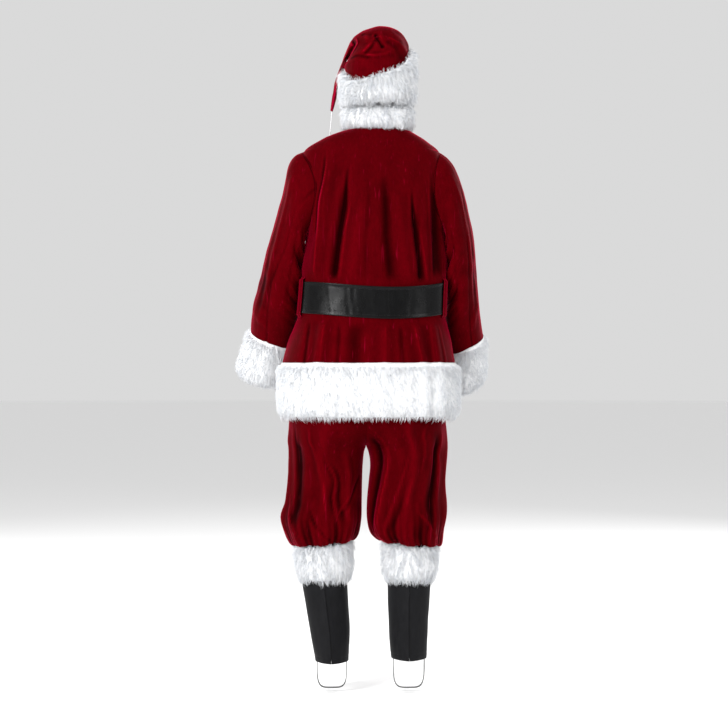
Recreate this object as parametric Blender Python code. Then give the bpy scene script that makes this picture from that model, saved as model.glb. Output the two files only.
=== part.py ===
"""Santa suit in its worn form: jacket, belt, breeches, hat and boot tops, with no wearer.

Every cloth piece is a thin closed wall. Its outer face is a grid of points worked out from a
table of named sizes, and its inner face is that grid moved in by the cloth's thickness. Fur
pieces are bands with a rounded section that reaches as far as the pile does.

Frame: metres, +Z up, the wearer faces -Y and the wearer's left is +X. Sizes are given as heights
above the floor that the wearer stands on; one empty lowers the whole suit, so that the origin
lies in the middle of the neck opening.
"""
import math

import bmesh
import bpy
import numpy as np

# Driving dimensions
NECK_HEIGHT = 1.545        # from the floor to the middle of the neck opening
CLOTH = 0.0020             # velvet wall
LEATHERETTE = 0.0025       # belt and boot tops
SEAM_GAP = 0.0003          # between the edges of two pieces that are sewn together
LAY_GAP = 0.0008           # between two layers that lie on each other
BODY_SQUARENESS = 2.3      # exponent of the body's cross-section, 2 is an ellipse

# Jacket body: one row for each level, from hem to neck
BODY_COLUMNS = ("side_h", "back_h", "front_h", "half_width", "back_depth", "front_depth", "centre_x")
BODY_ROWS = (
    (0.909, 0.909, 0.909, 0.238, 0.152, 0.166, 0.026),   # 0 hem
    (0.975, 0.975, 0.975, 0.223, 0.143, 0.156, 0.023),   # 1 hips
    (1.035, 1.030, 1.035, 0.205, 0.132, 0.146, 0.019),   # 2 under the belt
    (1.100, 1.092, 1.100, 0.201, 0.129, 0.142, 0.015),   # 3 belt
    (1.165, 1.160, 1.165, 0.200, 0.131, 0.142, 0.011),   # 4 waist
    (1.225, 1.225, 1.225, 0.195, 0.133, 0.142, 0.006),   # 5 ribs
    (1.285, 1.290, 1.285, 0.190, 0.131, 0.138, 0.005),   # 6 armpit
    (1.345, 1.355, 1.340, 0.189, 0.126, 0.130, 0.005),   # 7 chest
    (1.405, 1.420, 1.390, 0.188, 0.117, 0.119, 0.007),   # 8 shoulder blades
    (1.456, 1.475, 1.430, 0.188, 0.104, 0.105, 0.014),   # 9 below the shoulder
    (1.502, 1.516, 1.462, 0.183, 0.091, 0.093, 0.019),   # 10 shoulder point
    (1.536, 1.547, 1.483, 0.143, 0.079, 0.083, 0.014),   # 11 shoulder seam
    (1.565, 1.567, 1.500, 0.082, 0.066, 0.072, 0.001),   # 12 neck
)
NECK_LEVEL = 12.0
ARMPIT_LEVEL = 5.8
SHOULDER_LEVEL = 10.0
ARMHOLE_HALF_ANGLE = math.radians(34)
ARMHOLE_STEPS = 10
LAP_ANGLE = math.radians(4)          # how far each front passes the middle
LEVELS_BELOW_ARMPIT = (0.0, 0.7, 1.4, 2.1, 2.95, 3.8, 4.45, 5.1)
LEVELS_ABOVE_SHOULDER = (10.7, 11.4, 12.0)
EDGE_CROWDING = math.radians(80)    # turn over which a panel's columns follow its armhole
LAP_RAMP_TURNS = (1.5, 3.2)     # lap angles from the middle between which the left front rises
FOLDS_CLEAR_OF_BELT = (0.004, 0.035)    # folds start and reach full depth this far off the belt
BACK_SEGMENTS = 24
FRONT_SEGMENTS = 10

# Long folds of the jacket, as lines across its face: x at the upper and lower end, the heights
# of both ends, half the fold's width and how far it stands out (+) or sinks in (-)
FOLD_COLUMNS = ("face", "top_x", "low_x", "top_h", "low_h", "half_width", "rise")
FOLD_ROWS = (
    (1, 0.131, 0.176, 1.50, 1.13, 0.015, 0.008),
    (1, 0.088, 0.128, 1.42, 1.12, 0.013, -0.009),
    (1, 0.045, 0.072, 1.38, 1.13, 0.018, 0.005),
    (1, -0.011, -0.035, 1.43, 1.13, 0.017, -0.005),
    (1, -0.050, -0.078, 1.38, 1.13, 0.017, 0.005),
    (1, -0.098, -0.121, 1.35, 1.12, 0.012, -0.009),
    (1, -0.150, -0.160, 1.47, 1.15, 0.014, -0.008),
    (1, 0.147, 0.168, 1.05, 0.89, 0.016, 0.009),
    (1, 0.060, 0.066, 1.05, 0.89, 0.022, -0.005),
    (1, -0.020, -0.014, 1.05, 0.89, 0.017, 0.007),
    (1, -0.094, -0.123, 1.05, 0.89, 0.015, 0.009),
    (1, -0.140, -0.163, 1.05, 0.89, 0.013, 0.008),
    (-1, 0.085, 0.120, 1.42, 1.13, 0.018, -0.007),
    (-1, -0.080, -0.110, 1.40, 1.13, 0.018, -0.007),
    (-1, 0.130, 0.150, 1.45, 1.14, 0.016, 0.006),
    (-1, -0.130, -0.145, 1.44, 1.14, 0.016, 0.006),
    (-1, 0.120, 0.150, 1.05, 0.89, 0.018, 0.008),
    (-1, -0.095, -0.115, 1.05, 0.89, 0.018, 0.008),
)

# Sleeves: the outer line and the inner line in front view, the half depth and the middle's y
SLEEVE_COLUMNS = ("outer_x", "outer_h", "inner_x", "inner_h", "half_depth", "centre_y", "back_drop")
SLEEVE_LEFT_ROWS = (
    (0.202, 1.502, 0.196, 1.273, 0.0720, 0.000, 0.000),   # armhole
    (0.229, 1.490, 0.204, 1.250, 0.0745, -0.002, 0.000),
    (0.249, 1.462, 0.210, 1.222, 0.0750, -0.006, 0.000),
    (0.263, 1.398, 0.213, 1.190, 0.0740, -0.012, 0.001),
    (0.282, 1.330, 0.215, 1.160, 0.0720, -0.020, 0.003),
    (0.303, 1.262, 0.220, 1.130, 0.0700, -0.031, 0.006),
    (0.323, 1.196, 0.221, 1.098, 0.0680, -0.045, 0.010),  # elbow
    (0.337, 1.138, 0.225, 1.070, 0.0670, -0.062, 0.014),
    (0.350, 1.090, 0.230, 1.038, 0.0660, -0.082, 0.017),
    (0.358, 1.046, 0.236, 1.004, 0.0650, -0.104, 0.020),
    (0.362, 1.006, 0.244, 0.972, 0.0640, -0.128, 0.022),  # cuff seam
)
SLEEVE_RIGHT_ROWS = (
    (-0.164, 1.502, -0.185, 1.273, 0.0720, 0.000, 0.000),
    (-0.193, 1.482, -0.190, 1.250, 0.0745, -0.002, 0.000),
    (-0.217, 1.450, -0.194, 1.222, 0.0750, -0.005, 0.000),
    (-0.239, 1.396, -0.193, 1.190, 0.0740, -0.011, 0.001),
    (-0.252, 1.340, -0.193, 1.160, 0.0720, -0.020, 0.003),
    (-0.265, 1.284, -0.195, 1.130, 0.0700, -0.031, 0.006),
    (-0.275, 1.226, -0.196, 1.098, 0.0680, -0.046, 0.010),
    (-0.280, 1.162, -0.196, 1.064, 0.0670, -0.063, 0.014),
    (-0.285, 1.100, -0.196, 1.028, 0.0660, -0.081, 0.017),
    (-0.292, 1.044, -0.198, 0.990, 0.0650, -0.102, 0.020),
    (-0.301, 0.990, -0.203, 0.956, 0.0640, -0.124, 0.022),
)
CUFF_AXES = {1: (0.30, -0.42, -0.86), -1: (-0.02, -0.42, -0.91)}   # from seam to open end
SLEEVE_STEPS = 11
ARMHOLE_BLEND_STATIONS = 3.0
FOLD_SLANT = 4.0            # stations that a sleeve's fold runs down in one turn
SLEEVE_FOLD_COLUMNS = ("station", "turn", "half_length", "half_turn", "rise")
SLEEVE_FOLD_ROWS = (
    (2.2, 0.30, 1.3, 0.10, 0.006),
    (3.4, 0.42, 0.7, 0.10, -0.008),
    (4.8, 0.36, 0.8, 0.12, 0.007),
    (5.8, 0.44, 0.6, 0.14, -0.007),
    (6.6, 0.10, 0.9, 0.10, -0.006),
    (7.6, 0.30, 0.7, 0.12, 0.007),
    (8.6, 0.62, 0.8, 0.12, -0.006),
    (5.2, 0.70, 0.9, 0.12, 0.007),
    (6.4, 0.80, 0.7, 0.12, -0.006),
)

# Fur bands: the section's corners, as far out from the cloth's face and along the band
BAND_COLUMNS = ("out", "along")
HEM_SECTION = (
    (-0.0020, 0.0000), (0.0060, 0.0000), (0.0130, 0.0140), (0.0165, 0.0450),
    (0.0175, 0.0850), (0.0150, 0.1150), (0.0060, 0.1320), (-0.0030, 0.1280),
)
CUFF_SECTION = (
    (-0.0020, 0.0000), (0.0050, 0.0000), (0.0110, 0.0120), (0.0135, 0.0440),
    (0.0140, 0.0820), (0.0120, 0.1100), (0.0040, 0.1250), (-0.0050, 0.1180),
)
COLLAR_SECTION = (
    (-0.0020, 0.0000), (0.0080, -0.0010), (0.0190, 0.0060), (0.0240, 0.0220),
    (0.0210, 0.0400), (0.0110, 0.0500), (0.0010, 0.0480), (-0.0050, 0.0250),
)
BOOT_FUR_SECTION = (
    (0.0008, 0.0060), (0.0060, 0.0000), (0.0120, 0.0100), (0.0195, 0.0350),
    (0.0205, 0.0660), (0.0180, 0.0870), (0.0110, 0.0960), (0.0020, 0.0990), (0.0008, 0.0920),
)
COLLAR_STEPS = 24
HEM_STEPS = 40
COLLAR_LIFT = 6 * SEAM_GAP
CUFF_START = 4 * SEAM_GAP
HEM_DROP = 2 * SEAM_GAP
FUR_END_GAP = 0.0015

# Belt and its loops
BELT_WIDTH = 0.087
BELT_SIDE_HEIGHT = 1.099
BELT_BACK_DROP = 0.017
BELT_TILT = 0.010
BELT_STEPS = 60
BELT_LAY = 0.0022           # from the jacket to the belt
BELT_TONGUE_ANGLE = math.radians(46)
BELT_TIP_ANGLE = 0.16       # the tongue narrows over this angle
BELT_TIP_SHARE = 0.42       # the half width left at its very end
BUCKLE_WIDTH = 0.074
BUCKLE_HEIGHT = 0.112
BUCKLE_BAR = 0.009
BUCKLE_BAR_DEPTH = 0.0035
WAIST_LEAN = 0.0018        # how far the belt's face leans out over half its width
LOOP_ANGLE = math.radians(71)    # from the middle of the back
LOOP_WIDTH = 0.026
LOOP_HEIGHT = 0.112
LOOP_THICKNESS = 0.0018
SIDE_RADIUS = 0.135         # of the waist's curve at a side seam

# Breeches: one row for each level from the waistband down and, at last, up into the gathered end
SEAT_CENTRE_X = 0.034
LEG_COLUMNS = ("height", "inner_x", "outer_x", "half_depth", "centre_y", "gather")
LEG_LEFT_ROWS = (
    (1.058, -0.131, 0.199, 0.108, 0.000, 0.4),
    (0.980, -0.152, 0.226, 0.122, 0.002, 0.1),
    (0.900, -0.142, 0.240, 0.133, 0.004, 0.0),
    (0.820, -0.098, 0.245, 0.136, 0.004, 0.0),
    (0.750, -0.036, 0.245, 0.130, 0.002, 0.0),
    (0.705, 0.018, 0.244, 0.120, 0.000, 0.0),
    (0.680, 0.036, 0.242, 0.114, -0.002, 0.0),
    (0.640, 0.042, 0.242, 0.108, -0.004, 0.0),
    (0.590, 0.044, 0.244, 0.103, -0.006, 0.0),
    (0.535, 0.045, 0.252, 0.101, -0.006, 0.1),
    (0.485, 0.046, 0.263, 0.101, -0.004, 0.3),
    (0.440, 0.053, 0.252, 0.096, -0.002, 0.6),
    (0.420, 0.065, 0.239, 0.086, 0.000, 0.5),
    (0.423, 0.077, 0.228, 0.076, 0.000, 0.5),
    (0.440, 0.079, 0.227, 0.075, 0.000, 0.4),
)
LEG_RIGHT_ROWS = (
    (1.058, 0.199, -0.131, 0.108, 0.000, 0.4),
    (0.980, 0.220, -0.155, 0.122, 0.002, 0.1),
    (0.900, 0.208, -0.172, 0.133, 0.004, 0.0),
    (0.820, 0.163, -0.183, 0.136, 0.004, 0.0),
    (0.750, 0.099, -0.185, 0.130, 0.002, 0.0),
    (0.705, 0.049, -0.186, 0.120, 0.000, 0.0),
    (0.680, 0.030, -0.186, 0.114, 0.000, 0.0),
    (0.640, 0.022, -0.184, 0.108, 0.000, 0.0),
    (0.590, 0.026, -0.181, 0.103, 0.000, 0.0),
    (0.535, 0.031, -0.183, 0.101, 0.000, 0.1),
    (0.485, 0.031, -0.184, 0.101, 0.002, 0.3),
    (0.443, 0.022, -0.177, 0.096, 0.003, 0.6),
    (0.420, 0.001, -0.173, 0.086, 0.001, 0.5),
    (0.423, -0.012, -0.164, 0.076, 0.000, 0.5),
    (0.440, -0.015, -0.163, 0.075, 0.000, 0.4),
)
LEG_STEPS = 24
LEG_LEVELS = (0, 1.2, 2.4, 3.5, 4.5, 5.0, 5.5, 6.1, 7.2, 8.4, 9.6, 10.7, 11.6, 12.4, 13.2, 14)
LEG_END_TILT = 0.007        # how far the gathered end rises towards the inseam
LEG_RADIUS = 0.105          # mean radius, which turns a fold's turn into a width
GATHERS = 8
GATHER_DEPTH = 0.006
LEG_FOLD_COLUMNS = ("top_turn", "low_turn", "top_level", "low_level", "half_width", "rise")
LEG_FOLD_ROWS = (
    (0.30, 0.24, 3.0, 9.6, 0.016, 0.009),
    (0.40, 0.36, 4.5, 10.5, 0.015, -0.007),
    (0.50, 0.47, 3.5, 10.5, 0.017, 0.008),
    (0.16, 0.13, 6.0, 10.5, 0.014, 0.007),
    (0.62, 0.60, 4.0, 10.2, 0.016, -0.007),
    (0.72, 0.76, 4.2, 10.3, 0.016, 0.008),
    (0.85, 0.88, 6.2, 10.3, 0.014, 0.006),
)
WAISTBAND_HEIGHT = 0.036
WAISTBAND_THICKNESS = 0.004
WAISTBAND_STEPS = 28

# Hat crown: a cone that folds over, given by its outer line and inner line in front view
CROWN_COLUMNS = ("outer_x", "outer_h", "inner_x", "inner_h", "half_depth", "centre_y")
CROWN_BACK_DROPS = (0.032, 0.028, 0.018, 0.008, 0.002, 0.0)    # by station, from the band seam
CROWN_ROWS = (
    (-0.084, 1.738, 0.0770, 1.700, 0.084, 0.000),   # band seam
    (-0.086, 1.770, 0.0780, 1.724, 0.085, 0.000),
    (-0.085, 1.797, 0.0770, 1.738, 0.083, 0.000),
    (-0.076, 1.820, 0.0755, 1.749, 0.078, 0.000),
    (-0.058, 1.840, 0.0740, 1.758, 0.072, -0.001),
    (-0.034, 1.851, 0.0735, 1.765, 0.065, -0.003),
    (-0.006, 1.854, 0.0745, 1.770, 0.058, -0.006),  # peak
    (0.024, 1.848, 0.0770, 1.772, 0.052, -0.010),
    (0.050, 1.838, 0.0815, 1.770, 0.046, -0.016),
    (0.073, 1.820, 0.0880, 1.762, 0.040, -0.024),   # fold
    (0.091, 1.784, 0.0930, 1.748, 0.034, -0.036),
    (0.106, 1.748, 0.0995, 1.729, 0.029, -0.048),
    (0.119, 1.712, 0.1075, 1.700, 0.024, -0.056),
    (0.128, 1.671, 0.1170, 1.662, 0.018, -0.060),
    (0.134, 1.628, 0.1262, 1.625, 0.007, -0.060),   # tail's tip
)
CROWN_STEPS = 13
CROWN_SIDES = 20
HAT_BAND_CENTRE_X = 0.0
HAT_BAND_HALF_WIDTH = 0.0905
HAT_BAND_HALF_DEPTH = 0.0925
HAT_BAND_LOW = 1.634        # the band's lower edge at the middle
HAT_BAND_TOP = 1.752        # its upper edge at the middle
HAT_BAND_LOW_TILT = -0.05   # rise a metre towards +X
HAT_BAND_TOP_TILT = -0.32
HAT_BAND_BACK_DROP = 0.050  # how much lower its upper edge dips at the back
HAT_BAND_SECTION = (
    (-0.0020, 0.02), (0.0060, 0.00), (0.0180, 0.08), (0.0240, 0.30),
    (0.0245, 0.62), (0.0190, 0.88), (0.0080, 1.00), (-0.0020, 0.93),
)
HAT_BAND_STEPS = 28

# Cord from the tail's tip over the left shoulder to the pompom, x, y and height
CORD_DIAMETER = 0.003
CORD_ROUTE = (
    (0.1300, -0.0600, 1.6235), (0.1303, -0.0602, 1.6080), (0.1318, -0.0612, 1.5900),
    (0.1335, -0.0640, 1.5700), (0.1350, -0.0690, 1.5500), (0.1365, -0.0755, 1.5300),
    (0.1378, -0.0830, 1.5120), (0.1388, -0.0905, 1.4950), (0.1395, -0.0975, 1.4790),
    (0.1400, -0.1040, 1.4640),
)
CORD_POINTS = 16
POMPOM_RADIUS = 0.026
POMPOM_CENTRE = (0.1408, -0.1165, 1.4385)

# Boot tops: the back seam is where each wall begins and ends
BOOT_COLUMNS = ("height", "centre_x", "half_width", "half_depth", "centre_y", "ridge")
BOOT_LEFT_ROWS = (
    (0.424, 0.1530, 0.0640, 0.0660, 0.000, 0.002),
    (0.330, 0.1500, 0.0645, 0.0655, 0.000, 0.004),
    (0.250, 0.1420, 0.0600, 0.0600, 0.000, 0.005),
    (0.170, 0.1330, 0.0550, 0.0560, -0.002, 0.005),
    (0.120, 0.1300, 0.0500, 0.0600, -0.010, 0.004),
    (0.089, 0.1285, 0.0470, 0.0700, -0.022, 0.003),
)
BOOT_RIGHT_ROWS = (
    (0.424, -0.0900, 0.0610, 0.0660, 0.000, 0.002),
    (0.330, -0.0870, 0.0610, 0.0655, 0.000, 0.004),
    (0.250, -0.0850, 0.0570, 0.0600, 0.000, 0.005),
    (0.170, -0.0850, 0.0540, 0.0560, -0.002, 0.005),
    (0.120, -0.0855, 0.0510, 0.0600, -0.010, 0.004),
    (0.097, -0.0860, 0.0490, 0.0690, -0.022, 0.003),
)
BOOT_STEPS = 19
BOOT_LEVELS = (0, 1, 2, 3, 4, 5)
RIDGE_HALF_WIDTH = 0.010
SHAFT_RADIUS = 0.055
RIDGE_TURN = 0.13           # where the wall's second column stands, beside the seam's ridge
FRONT_DROP = 0.016          # how much lower the shaft reaches at the instep
BOOT_FUR_CLEAR = 0.0016
BOOT_FUR_STEPS = 26
BOOT_FUR_LEVEL = 1.2        # the shaft's level at the fur's lower edge
BOOT_FUR_TILT = 0.07        # the share by which it is taller towards the inseam
STRAP_WIDTH = 0.014
STRAP_THICKNESS = 0.0015
STRAP_LOW = 0.010           # height of the strap's underside
STRAP_CLEAR = 2.5 * LAY_GAP     # from the shaft's inner face
STRAP_TOP_LEVELS = 0.55     # how far its ends run up, in rows of the shaft's table
STRAP_DROP = 0.012          # straight run below the shaft's edge
STRAP_ARC_STEPS = 10

VELVET = ((0.20, 0.004, 0.012), 0.55, 0.0)
FUR = ((0.88, 0.90, 0.92), 0.95, 0.0)
BLACK_LEATHERETTE = ((0.025, 0.025, 0.027), 0.32, 0.0)
BLACK_MATTE = ((0.045, 0.045, 0.048), 0.55, 0.0)
BLACK_ELASTIC = ((0.02, 0.02, 0.02), 0.8, 0.0)
RED_ELASTIC = ((0.16, 0.01, 0.015), 0.8, 0.0)
WHITE_CORD = ((0.85, 0.85, 0.84), 0.85, 0.0)
GOLD_METAL = ((0.80, 0.58, 0.22), 0.28, 1.0)


class Table:
    """Rows of sizes with named columns, read smoothly between the rows."""

    def __init__(self, columns, rows):
        self.values = {name: np.array([row[i] for row in rows], float)
                       for i, name in enumerate(columns)}
        self.last = len(rows) - 1

    def at(self, name, place):
        """The column's value at a place counted in rows, on a cubic through the rows."""
        values = self.values[name]
        slopes = np.gradient(values)
        place = np.clip(np.asarray(place, float), 0, self.last)
        row = np.minimum(place.astype(int), self.last - 1)
        t = place - row
        rise = values[row + 1] - values[row]
        start, end = slopes[row], slopes[row + 1]
        return values[row] + t * (start + t * (3 * rise - 2 * start - end
                                               + t * (start + end - 2 * rise)))


def hump(distance, half_width):
    """A smooth hump of height 1 that fades out at about twice its half width."""
    return np.exp(-(distance / half_width) ** 2)


def step(value, low, high):
    """0 below low, 1 above high, smooth between."""
    t = np.clip((value - low) / (high - low), 0, 1)
    return t * t * (3 - 2 * t)


def unit(vectors):
    return vectors / np.linalg.norm(vectors, axis=-1, keepdims=True)


# Mesh helpers

def make_object(name, points, triangles, finish):
    """One named object from points and triangles, hung on the suit's empty."""
    mesh = bpy.data.meshes.new(name)
    mesh.from_pydata([tuple(p) for p in points], [], [tuple(t) for t in triangles])
    mesh.validate()
    bm = bmesh.new()
    bm.from_mesh(mesh)
    bmesh.ops.recalc_face_normals(bm, faces=bm.faces)
    bm.to_mesh(mesh)
    bm.free()
    mesh.shade_smooth()
    mesh.set_sharp_from_angle(angle=math.radians(50))
    return adopt(bpy.data.objects.new(name, mesh), name, finish)


def adopt(obj, name, finish):
    """Gives an object its name, collection, material and place under the suit's empty."""
    colour, roughness, metallic = finish
    obj.name = name
    obj.data.name = name
    for collection in list(obj.users_collection):
        collection.objects.unlink(obj)
    suit_collection.objects.link(obj)
    obj.parent = suit_empty
    material = bpy.data.materials.new(name)
    material.use_nodes = True
    shader = material.node_tree.nodes["Principled BSDF"]
    shader.inputs["Base Color"].default_value = (*colour, 1)
    shader.inputs["Roughness"].default_value = roughness
    shader.inputs["Metallic"].default_value = metallic
    obj.data.materials.clear()
    obj.data.materials.append(material)
    return obj


def grid_triangles(index, ring, flip):
    """Two triangles for each cell of an index grid; a ring also closes its columns."""
    if ring:
        index = np.concatenate([index, index[:, :1]], axis=1)
    a, b = index[:-1, :-1].ravel(), index[:-1, 1:].ravel()
    c, d = index[1:, 1:].ravel(), index[1:, :-1].ravel()
    first, second = np.stack([a, b, c], 1), np.stack([a, c, d], 1)
    triangles = np.concatenate([first, second])
    return triangles[:, ::-1] if flip else triangles


def strip_triangles(outer, inner, closed):
    """The edge faces that join two rows of indices."""
    if closed:
        outer, inner = np.append(outer, outer[0]), np.append(inner, inner[0])
    a, b, c, d = outer[:-1], outer[1:], inner[1:], inner[:-1]
    return np.concatenate([np.stack([a, b, c], 1), np.stack([a, c, d], 1)])


def make_wall(name, outer, inner, finish, ring=False):
    """A closed cloth wall between an outer and an inner grid of rows by columns."""
    rows, columns = outer.shape[:2]
    front = np.arange(rows * columns).reshape(rows, columns)
    back = front + rows * columns
    parts = [grid_triangles(front, ring, False), grid_triangles(back, ring, True),
             strip_triangles(front[0], back[0], ring), strip_triangles(front[-1], back[-1], ring)]
    if not ring:
        parts += [strip_triangles(front[:, 0], back[:, 0], False),
                  strip_triangles(front[:, -1], back[:, -1], False)]
    points = np.concatenate([outer.reshape(-1, 3), inner.reshape(-1, 3)])
    return make_object(name, points, np.concatenate(parts), finish)


def make_band(name, sections, finish, ring=True):
    """A closed solid from sections along a path, each a closed loop of points."""
    count, corners = sections.shape[:2]
    index = np.arange(count * corners).reshape(count, corners)
    path = np.concatenate([index, index[:1]]) if ring else index
    parts = [grid_triangles(path, True, False)]
    points = sections.reshape(-1, 3)
    if not ring:
        for end in (0, count - 1):
            middle = len(points)
            points = np.concatenate([points, sections[end].mean(0)[None]])
            loop = index[end]
            parts.append(np.stack([loop, np.roll(loop, -1), np.full(corners, middle)], 1))
    return make_object(name, points, np.concatenate(parts), finish)


def grid_normals(grid, ring):
    """Unit normals of a grid of rows by columns, from the differences along both."""
    along = np.gradient(grid, axis=0)
    if ring:
        around = np.roll(grid, -1, axis=1) - np.roll(grid, 1, axis=1)
    else:
        around = np.gradient(grid, axis=1)
    return unit(np.cross(along, around))


# Jacket

body_table = Table(BODY_COLUMNS, BODY_ROWS)
fold_rows = [dict(zip(FOLD_COLUMNS, row)) for row in FOLD_ROWS]


def belt_height(angle):
    """Height of the belt's middle line at an angle round the body."""
    back = np.maximum(np.cos(angle), 0) ** 2
    return BELT_SIDE_HEIGHT - BELT_BACK_DROP * back + BELT_TILT * np.sin(angle) * back


def body_frame(angle, level):
    """The jacket's smooth form. The angle is 0 at the middle of the back and grows to +X."""
    sine, cosine = np.sin(angle), np.cos(angle)
    spread = (np.abs(sine) ** BODY_SQUARENESS + np.abs(cosine) ** BODY_SQUARENESS)
    spread = spread ** (-1 / BODY_SQUARENESS)
    depth = np.where(cosine > 0, body_table.at("back_depth", level),
                     body_table.at("front_depth", level))
    face_h = np.where(cosine > 0, body_table.at("back_h", level), body_table.at("front_h", level))
    side_h = body_table.at("side_h", level)
    x = body_table.at("centre_x", level) + body_table.at("half_width", level) * spread * sine
    y = depth * spread * cosine
    h = side_h + (face_h - side_h) * cosine ** 2
    return np.stack(np.broadcast_arrays(x, y, h), -1)


def body_normal(angle, level):
    """Outward unit normal of the smooth form."""
    tiny = 1e-3
    around = body_frame(angle + tiny, level) - body_frame(angle - tiny, level)
    up = body_frame(angle, level + tiny) - body_frame(angle, level - tiny)
    return unit(np.cross(up, around))


def fold_rise(points, angle):
    """How far the folds stand out at points on the smooth form."""
    x, h = points[..., 0], points[..., 2]
    rise = np.zeros_like(x)
    for fold in fold_rows:
        along = (h - fold["low_h"]) / (fold["top_h"] - fold["low_h"])
        line = fold["low_x"] + (fold["top_x"] - fold["low_x"]) * along
        fade = step(along, -0.05, 0.12) * (1 - step(along, 0.70, 1.05))
        face = step(np.cos(angle) * fold["face"], 0.02, 0.25)
        rise = rise + fold["rise"] * hump(x - line, fold["half_width"]) * fade * face
    away = np.abs(h - belt_height(angle))
    start, full = FOLDS_CLEAR_OF_BELT
    return rise * step(away, BELT_WIDTH / 2 + start, BELT_WIDTH / 2 + full)


def body_point(angle, level, out=0.0):
    """A point of the jacket's outer face, or one moved out from it."""
    angle, level = np.broadcast_arrays(np.asarray(angle, float), np.asarray(level, float))
    smooth = body_frame(angle, level)
    rise = fold_rise(smooth, angle) + out
    return smooth + body_normal(angle, level) * rise[..., None]


def armhole_turns():
    """Levels and half angles of the armhole from the shoulder point down to the armpit."""
    turn = np.linspace(0, math.pi, ARMHOLE_STEPS + 1)
    middle = (SHOULDER_LEVEL + ARMPIT_LEVEL) / 2
    half = (SHOULDER_LEVEL - ARMPIT_LEVEL) / 2
    return middle + half * np.cos(turn), ARMHOLE_HALF_ANGLE * np.sin(turn)


def armhole_loop(side):
    """Points and inward directions round one armhole, shoulder, back, armpit, front."""
    levels, bites = armhole_turns()
    levels = np.concatenate([levels, levels[-2:0:-1]])
    bites = np.concatenate([bites, -bites[-2:0:-1]])
    angles = side * (math.pi / 2 - bites)
    points = body_point(angles, levels)
    normals = body_normal(angles, levels)
    along = np.roll(points, -1, axis=0) - np.roll(points, 1, axis=0)
    inward = unit(np.cross(normals, along))
    towards = points.mean(0) - points
    inward = inward * np.sign((inward * towards).sum(-1, keepdims=True))
    return points, inward


def panel_levels():
    """Levels of a jacket panel's rows, from hem to neck."""
    armhole, _ = armhole_turns()
    return np.concatenate([LEVELS_BELOW_ARMPIT, armhole[::-1], LEVELS_ABOVE_SHOULDER])


def armhole_bite(levels):
    """The armhole's half angle at each level, 0 where there is none."""
    middle = (SHOULDER_LEVEL + ARMPIT_LEVEL) / 2
    half = (SHOULDER_LEVEL - ARMPIT_LEVEL) / 2
    inside = np.clip(1 - ((levels - middle) / half) ** 2, 0, 1)
    return ARMHOLE_HALF_ANGLE * np.sqrt(inside)


def armhole_shift(side, facing):
    """Shift of a panel's armhole edge, from armpit to shoulder, by half the seam's gap."""
    _, inward = armhole_loop(side)
    along_edge = facing * np.arange(ARMHOLE_STEPS + 1)
    return -inward[along_edge][::-1] * SEAM_GAP / 2


def make_panel(name, start, end, segments, facing, armholes, lift=None):
    """One jacket panel between two edge angles, each a function of the row's level.

    The columns near an armhole crowd towards its edge; those further off run straight up.
    Facing is 1 on the back and -1 on a front. Armholes gives the side of the armhole at the
    first and at the last column, or 0 where that edge has none.
    """
    levels = panel_levels()
    share = np.linspace(0, 1, segments + 1)
    first, last = start(levels), end(levels)
    angles = first[0] * (1 - share) + last[0] * share
    crowded = EDGE_CROWDING / abs(last[0] - first[0])
    near_first = step(1 - share, 1 - crowded, 1.0)
    near_last = step(share, 1 - crowded, 1.0)
    angles = (angles + (first - first[0])[:, None] * near_first
              + (last - last[0])[:, None] * near_last)
    rows = np.broadcast_to(levels[:, None], angles.shape)
    out = lift(angles) if lift else np.zeros_like(angles)
    outer = body_point(angles, rows, out)
    lowest = len(LEVELS_BELOW_ARMPIT)
    armhole_rows = slice(lowest, lowest + ARMHOLE_STEPS + 1)
    for column, side in zip((0, segments), armholes):
        if side:
            outer[armhole_rows, column] += armhole_shift(side, facing)
    inner = outer - body_normal(angles, rows) * CLOTH
    inner[0, :, 2] = outer[0, :, 2]
    make_wall(name, outer, inner, VELVET)


def lap_out(angle):
    """How far the lapped left front stands out from the jacket's form at an angle."""
    away = np.abs(np.abs(angle) - math.pi)
    full, start = LAP_RAMP_TURNS
    return (CLOTH + LAY_GAP) * (1 - step(away, full * LAP_ANGLE, start * LAP_ANGLE))


def seam_inset(levels):
    """Half a seam's gap, and a little more, as an angle round the body."""
    return SEAM_GAP / 2 / body_table.at("half_width", levels) * 1.1


def make_jacket_panels():
    def side_edge(side, facing):
        def edge(levels):
            bite = armhole_bite(levels)
            return side * (math.pi / 2 - facing * (bite + seam_inset(levels)))
        return edge

    def front_edge(side):
        return lambda levels: np.full_like(levels, side * (math.pi + LAP_ANGLE))

    make_panel("jacket_back", side_edge(-1, 1), side_edge(1, 1), BACK_SEGMENTS, 1, (-1, 1))
    make_panel("jacket_front_left", side_edge(1, -1), front_edge(1), FRONT_SEGMENTS, -1, (1, 0),
               lap_out)
    make_panel("jacket_front_right", front_edge(-1), side_edge(-1, -1), FRONT_SEGMENTS, -1, (0, -1))


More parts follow.
